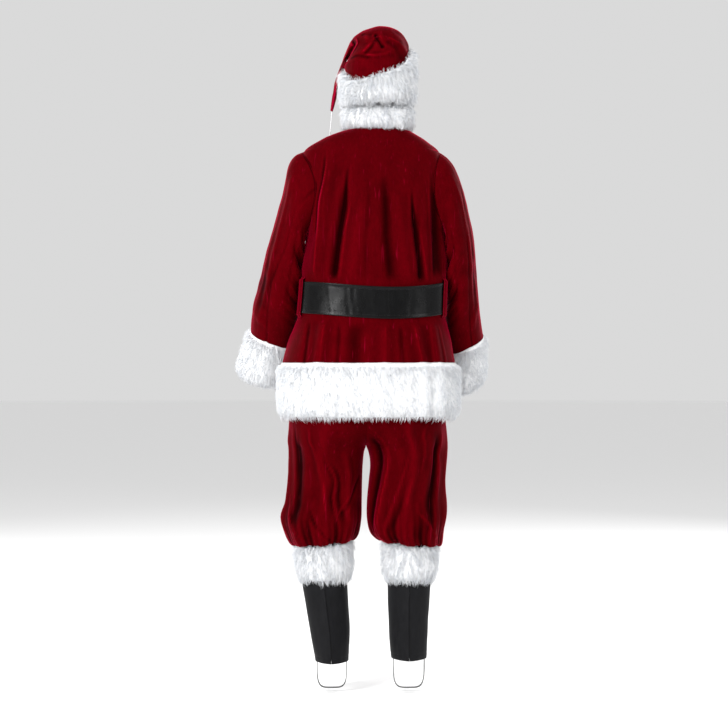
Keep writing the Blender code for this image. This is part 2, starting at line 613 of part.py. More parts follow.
def make_sleeve(name, side, rows):
    """A sleeve from the armhole to the cuff seam; returns its last ring and directions."""
    table = Table(SLEEVE_COLUMNS, rows)
    hole, inward = armhole_loop(side)
    start = hole + inward * SEAM_GAP / 2
    turn = np.linspace(0, 2 * math.pi, len(hole), endpoint=False)
    stations = np.linspace(0, 1, SLEEVE_STEPS + 1) ** 1.15 * table.last

    def ring(station):
        outer = np.array([table.at("outer_x", station), 0, table.at("outer_h", station)])
        inner = np.array([table.at("inner_x", station), 0, table.at("inner_h", station)])
        across = np.cos(turn)[:, None] * (outer - inner) / 2
        back = np.array([0, table.at("half_depth", station), -table.at("back_drop", station)])
        middle = (outer + inner) / 2 + np.array([0, table.at("centre_y", station), 0])
        return middle + across + np.sin(turn)[:, None] * back

    correction = start - ring(0)
    grid = np.stack([ring(station) + correction * (1 - step(station, 0, ARMHOLE_BLEND_STATIONS))
                     for station in stations])
    normals = grid_normals(grid, True)
    outward = grid - grid.mean(1, keepdims=True)
    normals = normals * np.sign((normals * outward).sum(-1).mean())
    rise = np.zeros(grid.shape[:2])
    for row in SLEEVE_FOLD_ROWS:
        fold = dict(zip(SLEEVE_FOLD_COLUMNS, row))
        away = (turn[None] / (2 * math.pi) - fold["turn"] + 0.5) % 1 - 0.5
        along = stations[:, None] - fold["station"] - FOLD_SLANT * away
        rise += fold["rise"] * hump(along, fold["half_length"]) * hump(away, fold["half_turn"])
    fade = step(stations, 0.5, 2.0) * (1 - step(stations, 8.6, 9.8))
    grid = grid + normals * (rise * fade[:, None])[..., None]
    normals = grid_normals(grid, True)
    normals = normals * np.sign((normals * outward).sum(-1).mean())
    make_wall(name, grid, grid - normals * CLOTH, VELVET, ring=True)
    return grid, normals


def band_sections(base, out, along, section):
    """Sections of a fur band at base points, with an out and an along direction each."""
    corners = dict(zip(BAND_COLUMNS, np.array(section).T[:, None, :, None]))
    return base[:, None] + out[:, None] * corners["out"] + along[:, None] * corners["along"]


def make_cuff(name, side, grid, normals):
    """A fur cuff that carries on from a sleeve's last ring."""
    ring = grid[-1]
    axis = unit(np.array(CUFF_AXES[side]))
    out = unit(normals[-1] - (normals[-1] @ axis)[:, None] * axis)
    base = ring + axis * CUFF_START
    along = np.broadcast_to(axis, base.shape)
    make_band(name, band_sections(base, out, along, CUFF_SECTION), FUR)


def open_front_angles(level, steps):
    """Angles round the body that leave a narrow gap at the middle of the front."""
    gap = FUR_END_GAP / 2 / float(body_table.at("half_width", level))
    return np.linspace(-math.pi + gap, math.pi - gap, steps + 1)


def make_hem_fur():
    angles = open_front_angles(0.0, HEM_STEPS)
    base = body_point(angles, 0.0) - np.array([0, 0, HEM_DROP])
    out = body_normal(angles, 0.0) * np.array([1, 1, 0])
    down = np.broadcast_to(np.array([0.0, 0.0, -1.0]), base.shape)
    make_band("hem_fur", band_sections(base, unit(out), down, HEM_SECTION), FUR, ring=False)


def make_collar_fur():
    angles = open_front_angles(NECK_LEVEL, COLLAR_STEPS)
    base = body_point(angles, NECK_LEVEL)
    base[:, 2] += COLLAR_LIFT + lap_out(angles)
    out = unit(body_normal(angles, NECK_LEVEL) * np.array([1, 1, 0]))
    up = np.broadcast_to(np.array([0.0, 0.0, 1.0]), base.shape)
    make_band("collar_fur", band_sections(base, out, up, COLLAR_SECTION), FUR, ring=False)


# Belt

def level_at(height, angle):
    """The body level whose side stands at a height."""
    levels = np.linspace(0, 6, 121)
    faces = body_frame(np.broadcast_to(angle, levels.shape), levels)[:, 2]
    return float(np.interp(height, faces, levels))


def around_body(angle, height, out):
    """A point moved out from the jacket's face, by its angle and its height."""
    level = level_at(height, angle)
    return body_point(angle, level, out + lap_out(angle))


def make_belt():
    """A strip wound once round the waist; its tongue lies over its first end at the front."""
    past_middle = 0.03
    start, end = -math.pi - past_middle, math.pi + BELT_TONGUE_ANGLE
    angles = np.linspace(end, start, BELT_STEPS + 1)
    first_layer = BELT_LAY
    over_bar = first_layer + LEATHERETTE + BUCKLE_BAR_DEPTH + 3 * LAY_GAP + 2 * WAIST_LEAN
    over_belt = first_layer + LEATHERETTE + 1.5 * LAY_GAP
    rise_start, bar = math.pi - 0.42, math.pi
    outs = first_layer + (over_bar - first_layer) * step(angles, rise_start, bar - 0.09)
    outs = outs - (over_bar - over_belt) * step(angles, bar + 0.16, bar + 0.40)
    tip = np.clip((end - angles) / BELT_TIP_ANGLE, 0, 1)
    rounded = np.sqrt(1 - (1 - tip) ** 2)
    half = BELT_WIDTH / 2 * (BELT_TIP_SHARE + (1 - BELT_TIP_SHARE) * rounded)
    shares = np.linspace(-1, 1, 3)
    outer = np.zeros((BELT_STEPS + 1, len(shares), 3))
    inner = np.zeros_like(outer)
    for i, angle in enumerate(angles):
        middle = float(belt_height(angle))
        for j, share in enumerate(shares):
            height = middle + share * half[i]
            inner[i, j] = around_body(angle, height, outs[i])
            outer[i, j] = around_body(angle, height, outs[i] + LEATHERETTE)
    make_wall("belt", outer, inner, BLACK_LEATHERETTE)


def make_box(name, size, centre):
    """A box as a bmesh cube, scaled and moved in its own mesh."""
    bm = bmesh.new()
    bmesh.ops.create_cube(bm, size=1.0)
    bmesh.ops.scale(bm, vec=size, verts=bm.verts)
    bmesh.ops.translate(bm, vec=centre, verts=bm.verts)
    mesh = bpy.data.meshes.new(name)
    bm.to_mesh(mesh)
    bm.free()
    return bpy.data.objects.new(name, mesh)


def make_buckle():
    """A slide buckle: a frame over the belt and a centre bar under its tongue, in one piece."""
    middle_h = float(belt_height(math.pi))
    face = around_body(math.pi, middle_h, BELT_LAY + LEATHERETTE + LAY_GAP + WAIST_LEAN)
    bar_y = face[1] - BUCKLE_BAR_DEPTH / 2
    front_y = bar_y - BUCKLE_BAR_DEPTH - LEATHERETTE - 3 * WAIST_LEAN
    back_y = bar_y + BUCKLE_BAR_DEPTH / 2
    depth = back_y - (front_y - BUCKLE_BAR_DEPTH / 2)
    x, half_w, half_h = face[0], BUCKLE_WIDTH / 2, BUCKLE_HEIGHT / 2
    proud = 0.0004             # keeps the joined boxes' faces out of one plane
    frame = make_box("belt_buckle", (BUCKLE_WIDTH, depth, BUCKLE_BAR),
                     (x, (back_y + back_y - depth) / 2, middle_h + half_h - BUCKLE_BAR / 2))
    adopt(frame, "belt_buckle", GOLD_METAL)
    pieces = [
        ((BUCKLE_WIDTH, depth, BUCKLE_BAR),
         (x, (back_y + back_y - depth) / 2, middle_h - half_h + BUCKLE_BAR / 2)),
        ((BUCKLE_BAR, BUCKLE_BAR_DEPTH, BUCKLE_HEIGHT - proud),
         (x - half_w + BUCKLE_BAR / 2 - proud, front_y - proud, middle_h)),
        ((BUCKLE_BAR, BUCKLE_BAR_DEPTH, BUCKLE_HEIGHT - proud),
         (x + half_w - BUCKLE_BAR / 2 + proud, front_y - proud, middle_h)),
        ((BUCKLE_BAR * 0.7, BUCKLE_BAR_DEPTH - proud, BUCKLE_HEIGHT - BUCKLE_BAR),
         (x, bar_y, middle_h)),
    ]
    for number, (size, centre) in enumerate(pieces):
        cutter = make_box(f"buckle_bar_{number}", size, centre)
        helper_collection.objects.link(cutter)
        cutter.parent = suit_empty
        cutter.hide_render = True
        cutter.display_type = "WIRE"
        union = frame.modifiers.new(f"bar_{number}", "BOOLEAN")
        union.operation = "UNION"
        union.object = cutter


def make_belt_loop(name, side):
    """A velvet strap over the belt behind a side seam, sewn down above and below it."""
    angle_middle = side * LOOP_ANGLE
    middle = float(belt_height(angle_middle))
    half_angle = LOOP_WIDTH / 2 / SIDE_RADIUS
    angles = angle_middle + np.linspace(-half_angle, half_angle, 4)
    shares = np.linspace(-1, 1, 11)
    sewn, over = LAY_GAP, BELT_LAY + LEATHERETTE + LAY_GAP
    outer = np.zeros((len(shares), len(angles), 3))
    inner = np.zeros_like(outer)
    for i, share in enumerate(shares):
        raised = 1 - step(abs(share), 0.84, 0.97)
        for j, angle in enumerate(angles):
            out = sewn + (over - sewn) * raised
            height = middle + share * LOOP_HEIGHT / 2
            inner[i, j] = around_body(angle, height, out)
            outer[i, j] = around_body(angle, height, out + LOOP_THICKNESS)
    make_wall(name, outer, inner, VELVET)


# Breeches

def make_leg(name, side, rows):
    """One leg from the waist to its gathered end, open along the seat seam and the inseam."""
    table = Table(LEG_COLUMNS, rows)
    levels = np.array(LEG_LEVELS, float)
    inner_x, outer_x = table.at("inner_x", levels), table.at("outer_x", levels)
    centre_x = (inner_x + outer_x) / 2
    half_width = np.abs(outer_x - inner_x) / 2
    plane_x = SEAT_CENTRE_X + side * SEAM_GAP / 2
    reach = np.clip(side * (centre_x - plane_x) / half_width, -1, 1)
    depth = table.at("half_depth", levels)
    opening = np.maximum(np.arccos(reach), SEAM_GAP / 2 / depth)
    share = np.linspace(0, 1, LEG_STEPS + 1)
    turn = opening[:, None] + (2 * math.pi - 2 * opening[:, None]) * share
    x = centre_x[:, None] - side * half_width[:, None] * np.cos(turn)
    y = table.at("centre_y", levels)[:, None] + depth[:, None] * np.sin(turn)
    h = np.broadcast_to(table.at("height", levels)[:, None], x.shape)
    tilt = step(levels, 9.5, 12)[:, None] * LEG_END_TILT
    h = h + tilt * np.cos(turn)
    grid = np.stack([x, y, h], -1)
    normals = leg_normals(grid)
    full_turn = turn / (2 * math.pi)
    rise = table.at("gather", levels)[:, None] * GATHER_DEPTH * np.cos(GATHERS * turn)
    for row in LEG_FOLD_ROWS:
        fold = dict(zip(LEG_FOLD_COLUMNS, row))
        along = (levels - fold["top_level"]) / (fold["low_level"] - fold["top_level"])
        line = fold["top_turn"] + (fold["low_turn"] - fold["top_turn"]) * along
        away = (full_turn - line[:, None]) * 2 * math.pi * LEG_RADIUS
        fade = step(along, -0.05, 0.25) * (1 - step(along, 0.85, 1.1))
        rise = rise + fold["rise"] * hump(away, fold["half_width"]) * fade[:, None]
    edge = step(np.minimum(share, 1 - share), 0.0, 0.06)
    grid = grid + normals * (rise * edge)[..., None]
    inner = grid - leg_normals(grid) * CLOTH
    inner[..., 0] = side * np.maximum(side * inner[..., 0], side * plane_x)
    make_wall(name, grid, inner, VELVET)


def leg_normals(grid):
    """Outward normals of a leg; both edges of the inseam share one below the crotch."""
    normals = grid_normals(grid, False)
    outward = grid[:5] - grid[:5].mean(1, keepdims=True)
    normals = normals * np.sign((normals[:5] * outward).sum(-1).mean())
    shared = unit(normals[:, 0] + normals[:, -1])
    closed = np.linalg.norm(grid[:, 0] - grid[:, -1], axis=-1) < 0.002
    normals[closed, 0] = shared[closed]
    normals[closed, -1] = shared[closed]
    return normals


def make_waistband():
    turn = np.linspace(0, 2 * math.pi, WAISTBAND_STEPS, endpoint=False)
    half_width = (LEG_LEFT_ROWS[0][2] - LEG_LEFT_ROWS[0][1]) / 2
    half_depth = LEG_LEFT_ROWS[0][3]
    out = np.stack([np.sin(turn) / half_width, np.cos(turn) / half_depth, 0 * turn], -1)
    base = np.stack([SEAT_CENTRE_X + half_width * np.sin(turn), half_depth * np.cos(turn),
                     np.full_like(turn, LEG_LEFT_ROWS[0][0] + 0.0010)], -1)
    up = np.broadcast_to(np.array([0.0, 0.0, 1.0]), base.shape)
    half = WAISTBAND_THICKNESS / 2
    section = ((-half, 0.0), (half * 0.6, 0.0), (half, WAISTBAND_HEIGHT / 2),
               (half * 0.6, WAISTBAND_HEIGHT), (-half, WAISTBAND_HEIGHT))
    make_band("waistband", band_sections(base, unit(out), up, section), RED_ELASTIC)


# Hat

def crown_ring(table, station, turn):
    outer = np.array([table.at("outer_x", station), 0, table.at("outer_h", station)])
    inner = np.array([table.at("inner_x", station), 0, table.at("inner_h", station)])
    across = np.cos(turn)[:, None] * (outer - inner) / 2
    deep = np.sin(turn)[:, None] * table.at("half_depth", station) * np.array([0, 1, 0])
    drop = np.interp(station, range(len(CROWN_BACK_DROPS)), CROWN_BACK_DROPS)
    deep[:, 2] -= drop * step(np.sin(turn), -0.1, 1)
    return (outer + inner) / 2 + np.array([0, table.at("centre_y", station), 0]) + across + deep


def make_hat_crown():
    """The velvet cone: an outer face, an inner face that stops short of the tip, and a rim.

    The inner face is each ring drawn in towards its own middle, so it can't cross at the fold.
    """
    table = Table(CROWN_COLUMNS, CROWN_ROWS)
    turn = np.linspace(0, 2 * math.pi, CROWN_SIDES, endpoint=False)
    stations = np.linspace(0, table.last, CROWN_STEPS + 1)
    outer = np.stack([crown_ring(table, station, turn) for station in stations])
    radial = unit(outer - outer.mean(1, keepdims=True))
    inner = (outer - radial * CLOTH)[:-1]
    rows, columns = outer.shape[:2]
    front = np.arange(rows * columns).reshape(rows, columns)
    back = np.arange(inner.shape[0] * columns).reshape(-1, columns) + rows * columns
    points = np.concatenate([outer.reshape(-1, 3), inner.reshape(-1, 3),
                             outer[-1].mean(0)[None], inner[-1].mean(0)[None]])
    tip, inner_tip = len(points) - 2, len(points) - 1
    around = np.roll(np.arange(columns), -1)
    parts = [grid_triangles(front, True, False), grid_triangles(back, True, True),
             strip_triangles(front[0], back[0], True),
             np.stack([front[-1], front[-1][around], np.full(columns, tip)], 1),
             np.stack([back[-1], back[-1][around], np.full(columns, inner_tip)], 1)]
    make_object("hat_crown", points, np.concatenate(parts), VELVET)


def make_hat_band():
    """The fur band: its lower edge lies nearly level, its upper edge rises to the right."""
    turn = np.linspace(0, 2 * math.pi, HAT_BAND_STEPS, endpoint=False)
    x, y = HAT_BAND_HALF_WIDTH * np.sin(turn), HAT_BAND_HALF_DEPTH * np.cos(turn)
    out = unit(np.stack([np.sin(turn) / HAT_BAND_HALF_WIDTH,
                         np.cos(turn) / HAT_BAND_HALF_DEPTH, 0 * turn], -1))
    low = HAT_BAND_LOW + HAT_BAND_LOW_TILT * x
    high = HAT_BAND_TOP + HAT_BAND_TOP_TILT * x
    high -= HAT_BAND_BACK_DROP * step(np.cos(turn), -0.1, 1)
    base = np.stack([HAT_BAND_CENTRE_X + x, y, low], -1)
    up = np.zeros_like(base)
    up[:, 2] = high - low
    make_band("hat_band", band_sections(base, out, up, HAT_BAND_SECTION), FUR)


def smooth_route(points, count):
    """Points spread evenly along a smooth curve through a route's own points."""
    table = Table(("x", "y", "h"), points)
    place = np.linspace(0, table.last, count)
    return np.stack([table.at("x", place), table.at("y", place), table.at("h", place)], -1)


def make_hat_cord():
    curve = bpy.data.curves.new("hat_cord", "CURVE")
    curve.dimensions = "3D"
    curve.bevel_depth = CORD_DIAMETER / 2
    curve.bevel_resolution = 2
    curve.use_fill_caps = True
    route = smooth_route(CORD_ROUTE, CORD_POINTS)
    spline = curve.splines.new("POLY")
    spline.points.add(len(route) - 1)
    for point, place in zip(spline.points, route):
        point.co = (*place, 1)
    adopt(bpy.data.objects.new("hat_cord", curve), "hat_cord", WHITE_CORD)


def make_pompom():
    bm = bmesh.new()
    bmesh.ops.create_uvsphere(bm, u_segments=16, v_segments=10, radius=POMPOM_RADIUS)
    mesh = bpy.data.meshes.new("hat_pompom")
    bm.to_mesh(mesh)
    bm.free()
    mesh.shade_smooth()
    pompom = adopt(bpy.data.objects.new("hat_pompom", mesh), "hat_pompom", FUR)
    pompom.location = POMPOM_CENTRE


# Boot tops

def shaft_point(table, turn, level, out=0.0):
    """A point of a shaft's outer face; the turn is 0 at the back seam and grows to +X."""
    half_width, half_depth = table.at("half_width", level), table.at("half_depth", level)
    sine, cosine = np.sin(turn), np.cos(turn)
    normal = unit(np.stack(np.broadcast_arrays(sine / half_width, cosine / half_depth,
                                               0.0 * turn), -1))
    away = np.abs((turn + math.pi) % (2 * math.pi) - math.pi) * half_width
    rise = table.at("ridge", level) * hump(away, RIDGE_HALF_WIDTH) + out
    front_drop = step(level, 3.5, 5.0) * FRONT_DROP * np.maximum(-cosine, 0) ** 2
    middle = np.stack(np.broadcast_arrays(
        table.at("centre_x", level) + half_width * sine,
        table.at("centre_y", level) + half_depth * cosine,
        table.at("height", level) - front_drop), -1)
    return middle + normal * rise[..., None]


def make_boot_shaft(name, table):
    levels = np.array(BOOT_LEVELS, float)[:, None]
    gap = SEAM_GAP / 2 / SHAFT_RADIUS
    even = np.linspace(gap, 2 * math.pi - gap, BOOT_STEPS + 1)[1:-1]
    near_seam = np.array([gap, RIDGE_TURN])
    turns = np.concatenate([near_seam, even, 2 * math.pi - near_seam[::-1]])[None]
    levels, turns = np.broadcast_arrays(levels, turns)
    outer = shaft_point(table, turns, levels)
    inner = shaft_point(table, turns, levels, -LEATHERETTE)
    make_wall(name, outer, inner, BLACK_MATTE)


def make_boot_fur(name, side, table):
    """A fur cuff round the shaft's upper end, which follows the tilt of the leg's end above it."""
    turn = np.linspace(0, 2 * math.pi, BOOT_FUR_STEPS, endpoint=False)
    base = shaft_point(table, turn, np.full_like(turn, BOOT_FUR_LEVEL))
    upper = shaft_point(table, turn, np.zeros_like(turn))
    out = unit((base - base.mean(0)) * np.array([1, 1, 0]))
    up = (upper - base) / (upper - base)[:, 2:]
    up = up * (1 - side * BOOT_FUR_TILT * np.sin(turn))[:, None]
    section = np.array(BOOT_FUR_SECTION) + np.array([BOOT_FUR_CLEAR, 0.0])
    make_band(name, band_sections(base, out, up, section), FUR)


def make_boot_strap(name, table):
    """An elastic stirrup: up inside the shaft at both sides, and under the shoe between."""
    low_level = float(table.last)
    inside = -LEATHERETTE - STRAP_CLEAR
    top_level = low_level - STRAP_TOP_LEVELS
    angles = (0.5 * math.pi, 1.5 * math.pi)
    path = []
    for angle in angles:
        top = shaft_point(table, np.array(angle), top_level, inside)
        edge = shaft_point(table, np.array(angle), low_level, inside - 2 * SEAM_GAP)
        path.append((top, edge))
    (left_top, left_edge), (right_top, right_edge) = path
    low = STRAP_LOW + STRAP_THICKNESS
    centre_y = left_edge[1]
    arc = np.linspace(0, math.pi, STRAP_ARC_STEPS + 1)
    middle_x, half = (left_edge[0] + right_edge[0]) / 2, (left_edge[0] - right_edge[0]) / 2
    fall = left_edge[2] - STRAP_DROP - low
    squared = np.sign(np.cos(arc)) * np.abs(np.cos(arc)) ** 0.45
    arc_points = np.stack([middle_x + half * squared, np.full_like(arc, centre_y),
                           left_edge[2] - STRAP_DROP - fall * np.sin(arc) ** 0.55], -1)
    line = np.concatenate([left_top[None], left_edge[None], arc_points,
                           right_edge[None], right_top[None]])
    line[:, 1] = centre_y
    tangent = unit(np.gradient(line, axis=0))
    outward = unit(np.cross(tangent, np.array([0.0, 1.0, 0.0])))
    if (outward[1] @ np.array([1.0, 0, 0])) * np.sign(half) < 0:
        outward = -outward
    side_shift = np.array([0, STRAP_WIDTH / 2, 0])
    outer = np.stack([line - side_shift, line + side_shift], 1)
    inner = outer - outward[:, None] * STRAP_THICKNESS
    make_wall(name, outer, inner, BLACK_ELASTIC)


# Scene

def start_scene():
    """Clears the scene and adds the suit's collections and the empty that carries it."""
    for obj in list(bpy.data.objects):
        bpy.data.objects.remove(obj)
    suit = bpy.data.collections.new("santa_suit")
    helpers = bpy.data.collections.new("cutters")
    empty = bpy.data.objects.new("suit_hold", None)
    empty.location = (0, 0, -NECK_HEIGHT)
    for collection in (suit, helpers):
        bpy.context.scene.collection.children.link(collection)
    suit.objects.link(empty)
    return suit, helpers, empty


suit_collection, helper_collection, suit_empty = start_scene()

make_jacket_panels()
for sleeve_side, side_name, sleeve_rows in ((1, "left", SLEEVE_LEFT_ROWS),
                                            (-1, "right", SLEEVE_RIGHT_ROWS)):
    sleeve_grid, sleeve_normals = make_sleeve(f"sleeve_{side_name}", sleeve_side, sleeve_rows)
    make_cuff(f"cuff_fur_{side_name}", sleeve_side, sleeve_grid, sleeve_normals)
    make_belt_loop(f"belt_loop_{side_name}", sleeve_side)
make_hem_fur()
make_collar_fur()
make_belt()
make_buckle()
make_leg("breeches_left", 1, LEG_LEFT_ROWS)
make_leg("breeches_right", -1, LEG_RIGHT_ROWS)
make_waistband()
make_hat_crown()
make_hat_band()
make_hat_cord()
make_pompom()
for boot_side, side_name, boot_rows in ((1, "left", BOOT_LEFT_ROWS),
                                        (-1, "right", BOOT_RIGHT_ROWS)):
    boot_table = Table(BOOT_COLUMNS, boot_rows)
    make_boot_shaft(f"boot_shaft_{side_name}", boot_table)
    make_boot_fur(f"boot_fur_{side_name}", boot_side, boot_table)
    make_boot_strap(f"boot_strap_{side_name}", boot_table)
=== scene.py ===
"""Dresses a worn santa suit: velvet shells, pile, leatherette, hat, boot tops and the stage.

Every form is a numpy surface. The jacket is a function of an angle round the body and a level
between hem and neck; sleeves, breeches, hat and boot tops are rings carried along tables of
sizes; fur is a backing with thousands of bent, tapering strands that stand on it in tufts.
Heights in the tables are above the floor; NECK_HEIGHT is taken off to reach the frame's origin.
"""
import math

import bpy
import mathutils
import numpy as np
from bpy.props import FloatProperty, FloatVectorProperty, PointerProperty
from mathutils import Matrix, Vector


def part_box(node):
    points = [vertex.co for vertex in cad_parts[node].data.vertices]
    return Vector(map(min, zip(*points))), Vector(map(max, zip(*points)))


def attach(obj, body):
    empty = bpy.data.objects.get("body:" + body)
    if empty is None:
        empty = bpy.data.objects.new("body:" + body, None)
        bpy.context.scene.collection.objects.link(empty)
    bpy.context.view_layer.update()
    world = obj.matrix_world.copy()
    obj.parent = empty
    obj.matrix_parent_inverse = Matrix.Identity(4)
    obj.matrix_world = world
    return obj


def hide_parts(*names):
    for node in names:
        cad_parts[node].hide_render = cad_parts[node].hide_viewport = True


bl_info = {
    "name": "Santa Suit",
    "version": (1, 0, 0),
    "blender": (4, 5, 0),
    "location": "3D View > Sidebar > Santa Suit",
    "description": "Velvet, fur and leatherette for a worn santa suit",
    "category": "Add Mesh",
}

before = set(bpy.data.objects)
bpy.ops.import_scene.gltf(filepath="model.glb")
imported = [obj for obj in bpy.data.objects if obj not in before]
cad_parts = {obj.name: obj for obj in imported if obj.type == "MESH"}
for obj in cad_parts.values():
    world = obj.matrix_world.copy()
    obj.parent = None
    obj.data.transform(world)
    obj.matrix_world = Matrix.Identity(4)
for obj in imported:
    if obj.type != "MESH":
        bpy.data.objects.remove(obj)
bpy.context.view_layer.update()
SIDES = (("left", 1), ("right", -1))
TURN = 2 * math.pi

# Driving dimensions
NECK_HEIGHT = 1.545        # from the floor to the middle of the neck opening
CLOTH = 0.0020             # velvet wall
LEATHERETTE = 0.0025       # belt and boot tops
SEAM_GAP = 0.0003          # between the edges of two pieces that are sewn together
LAY_GAP = 0.0008           # between two layers that lie on each other
BODY_SQUARENESS = 2.3      # exponent of the body's cross-section, 2 is an ellipse

# Jacket body: one row for each level, from hem to neck
BODY_COLUMNS = ("side_h", "back_h", "front_h", "half_width", "back_depth", "front_depth",
                "centre_x")
BODY_ROWS = (
    (0.909, 0.909, 0.909, 0.238, 0.152, 0.166, 0.026),   # 0 hem
    (0.975, 0.975, 0.975, 0.223, 0.143, 0.156, 0.023),   # 1 hips
    (1.035, 1.030, 1.035, 0.205, 0.132, 0.146, 0.019),   # 2 under the belt
    (1.100, 1.092, 1.100, 0.201, 0.129, 0.142, 0.015),   # 3 belt
    (1.165, 1.160, 1.165, 0.200, 0.131, 0.142, 0.011),   # 4 waist
    (1.225, 1.225, 1.225, 0.195, 0.133, 0.142, 0.006),   # 5 ribs
    (1.285, 1.290, 1.285, 0.190, 0.131, 0.138, 0.005),   # 6 armpit
    (1.345, 1.355, 1.340, 0.189, 0.126, 0.130, 0.005),   # 7 chest
    (1.405, 1.420, 1.390, 0.188, 0.117, 0.119, 0.007),   # 8 shoulder blades
    (1.456, 1.475, 1.430, 0.188, 0.104, 0.105, 0.014),   # 9 below the shoulder
    (1.502, 1.516, 1.462, 0.183, 0.091, 0.093, 0.019),   # 10 shoulder point
    (1.536, 1.547, 1.483, 0.143, 0.079, 0.083, 0.014),   # 11 shoulder seam
    (1.565, 1.567, 1.500, 0.082, 0.066, 0.072, 0.001),   # 12 neck
)
NECK_LEVEL = 12.0
ARMHOLE_HALF_ANGLE = math.radians(34)
LAP_ANGLE = math.radians(4)          # how far each front passes the middle
EDGE_CROWDING = math.radians(80)    # turn over which a panel's columns follow its armhole
LAP_RAMP_TURNS = (1.5, 3.2)     # lap angles from the middle between which the left front rises
FOLDS_CLEAR_OF_BELT = (0.004, 0.035)    # folds start and reach full depth this far off the belt

# Long folds of the jacket, as lines across its face: x at the upper and lower end, the heights
# of both ends, half the fold's width and how far it stands out (+) or sinks in (-)
FOLD_ENDS = ((-0.05, 0.12), (0.70, 1.05))   # shares of a fold over which it begins and ends
FOLD_COLUMNS = ("face", "top_x", "low_x", "top_h", "low_h", "half_width", "rise")
FOLD_ROWS = (
    (1, 0.131, 0.176, 1.50, 1.13, 0.015, 0.008),
    (1, 0.088, 0.128, 1.42, 1.12, 0.013, -0.009),
    (1, 0.045, 0.072, 1.38, 1.13, 0.018, 0.005),
    (1, -0.011, -0.035, 1.43, 1.13, 0.017, -0.005),
    (1, -0.050, -0.078, 1.38, 1.13, 0.017, 0.005),
    (1, -0.098, -0.121, 1.35, 1.12, 0.012, -0.009),
    (1, -0.150, -0.160, 1.47, 1.15, 0.014, -0.008),
    (1, 0.147, 0.168, 1.05, 0.89, 0.016, 0.009),
    (1, 0.060, 0.066, 1.05, 0.89, 0.022, -0.005),
    (1, -0.020, -0.014, 1.05, 0.89, 0.017, 0.007),
    (1, -0.094, -0.123, 1.05, 0.89, 0.015, 0.009),
    (1, -0.140, -0.163, 1.05, 0.89, 0.013, 0.008),
    (-1, 0.085, 0.120, 1.42, 1.13, 0.018, -0.007),
    (-1, -0.080, -0.110, 1.40, 1.13, 0.018, -0.007),
    (-1, 0.130, 0.150, 1.45, 1.14, 0.016, 0.006),
    (-1, -0.130, -0.145, 1.44, 1.14, 0.016, 0.006),
    (-1, 0.120, 0.150, 1.05, 0.89, 0.018, 0.008),
    (-1, -0.095, -0.115, 1.05, 0.89, 0.018, 0.008),
)

# Sleeves: the outer line and the inner line in front view, the half depth and the middle's y
SLEEVE_COLUMNS = ("outer_x", "outer_h", "inner_x", "inner_h", "half_depth", "centre_y",
                  "back_drop")
SLEEVE_LEFT_ROWS = (
    (0.202, 1.502, 0.196, 1.273, 0.0720, 0.000, 0.000),   # armhole
    (0.229, 1.490, 0.204, 1.250, 0.0745, -0.002, 0.000),
    (0.249, 1.462, 0.210, 1.222, 0.0750, -0.006, 0.000),
    (0.263, 1.398, 0.213, 1.190, 0.0740, -0.012, 0.001),
    (0.282, 1.330, 0.215, 1.160, 0.0720, -0.020, 0.003),
    (0.303, 1.262, 0.220, 1.130, 0.0700, -0.031, 0.006),
    (0.323, 1.196, 0.221, 1.098, 0.0680, -0.045, 0.010),  # elbow
    (0.337, 1.138, 0.225, 1.070, 0.0670, -0.062, 0.014),
    (0.350, 1.090, 0.230, 1.038, 0.0660, -0.082, 0.017),
    (0.358, 1.046, 0.236, 1.004, 0.0650, -0.104, 0.020),
    (0.362, 1.006, 0.244, 0.972, 0.0640, -0.128, 0.022),  # cuff seam
)
SLEEVE_RIGHT_ROWS = (
    (-0.164, 1.502, -0.185, 1.273, 0.0720, 0.000, 0.000),
    (-0.193, 1.482, -0.190, 1.250, 0.0745, -0.002, 0.000),
    (-0.217, 1.450, -0.194, 1.222, 0.0750, -0.005, 0.000),
    (-0.239, 1.396, -0.193, 1.190, 0.0740, -0.011, 0.001),
    (-0.252, 1.340, -0.193, 1.160, 0.0720, -0.020, 0.003),
    (-0.265, 1.284, -0.195, 1.130, 0.0700, -0.031, 0.006),
    (-0.275, 1.226, -0.196, 1.098, 0.0680, -0.046, 0.010),
    (-0.280, 1.162, -0.196, 1.064, 0.0670, -0.063, 0.014),
    (-0.285, 1.100, -0.196, 1.028, 0.0660, -0.081, 0.017),
    (-0.292, 1.044, -0.198, 0.990, 0.0650, -0.102, 0.020),
    (-0.301, 0.990, -0.203, 0.956, 0.0640, -0.124, 0.022),
)
CUFF_AXES = {1: (0.30, -0.42, -0.86), -1: (-0.02, -0.42, -0.91)}   # from seam to open end
ARMHOLE_BLEND_STATIONS = 3.0
FOLD_SLANT = 4.0            # stations that a sleeve's fold runs down in one turn
ROUND_FOLD_COLUMNS = ("station", "turn", "half_length", "half_turn", "rise")
SLEEVE_FOLD_ROWS = (
    (2.2, 0.30, 1.3, 0.10, 0.006),
    (3.4, 0.42, 0.7, 0.10, -0.008),
    (4.8, 0.36, 0.8, 0.12, 0.007),
    (5.8, 0.44, 0.6, 0.14, -0.007),
    (6.6, 0.10, 0.9, 0.10, -0.006),
    (7.6, 0.30, 0.7, 0.12, 0.007),
    (8.6, 0.62, 0.8, 0.12, -0.006),
    (5.2, 0.70, 0.9, 0.12, 0.007),
    (6.4, 0.80, 0.7, 0.12, -0.006),
)

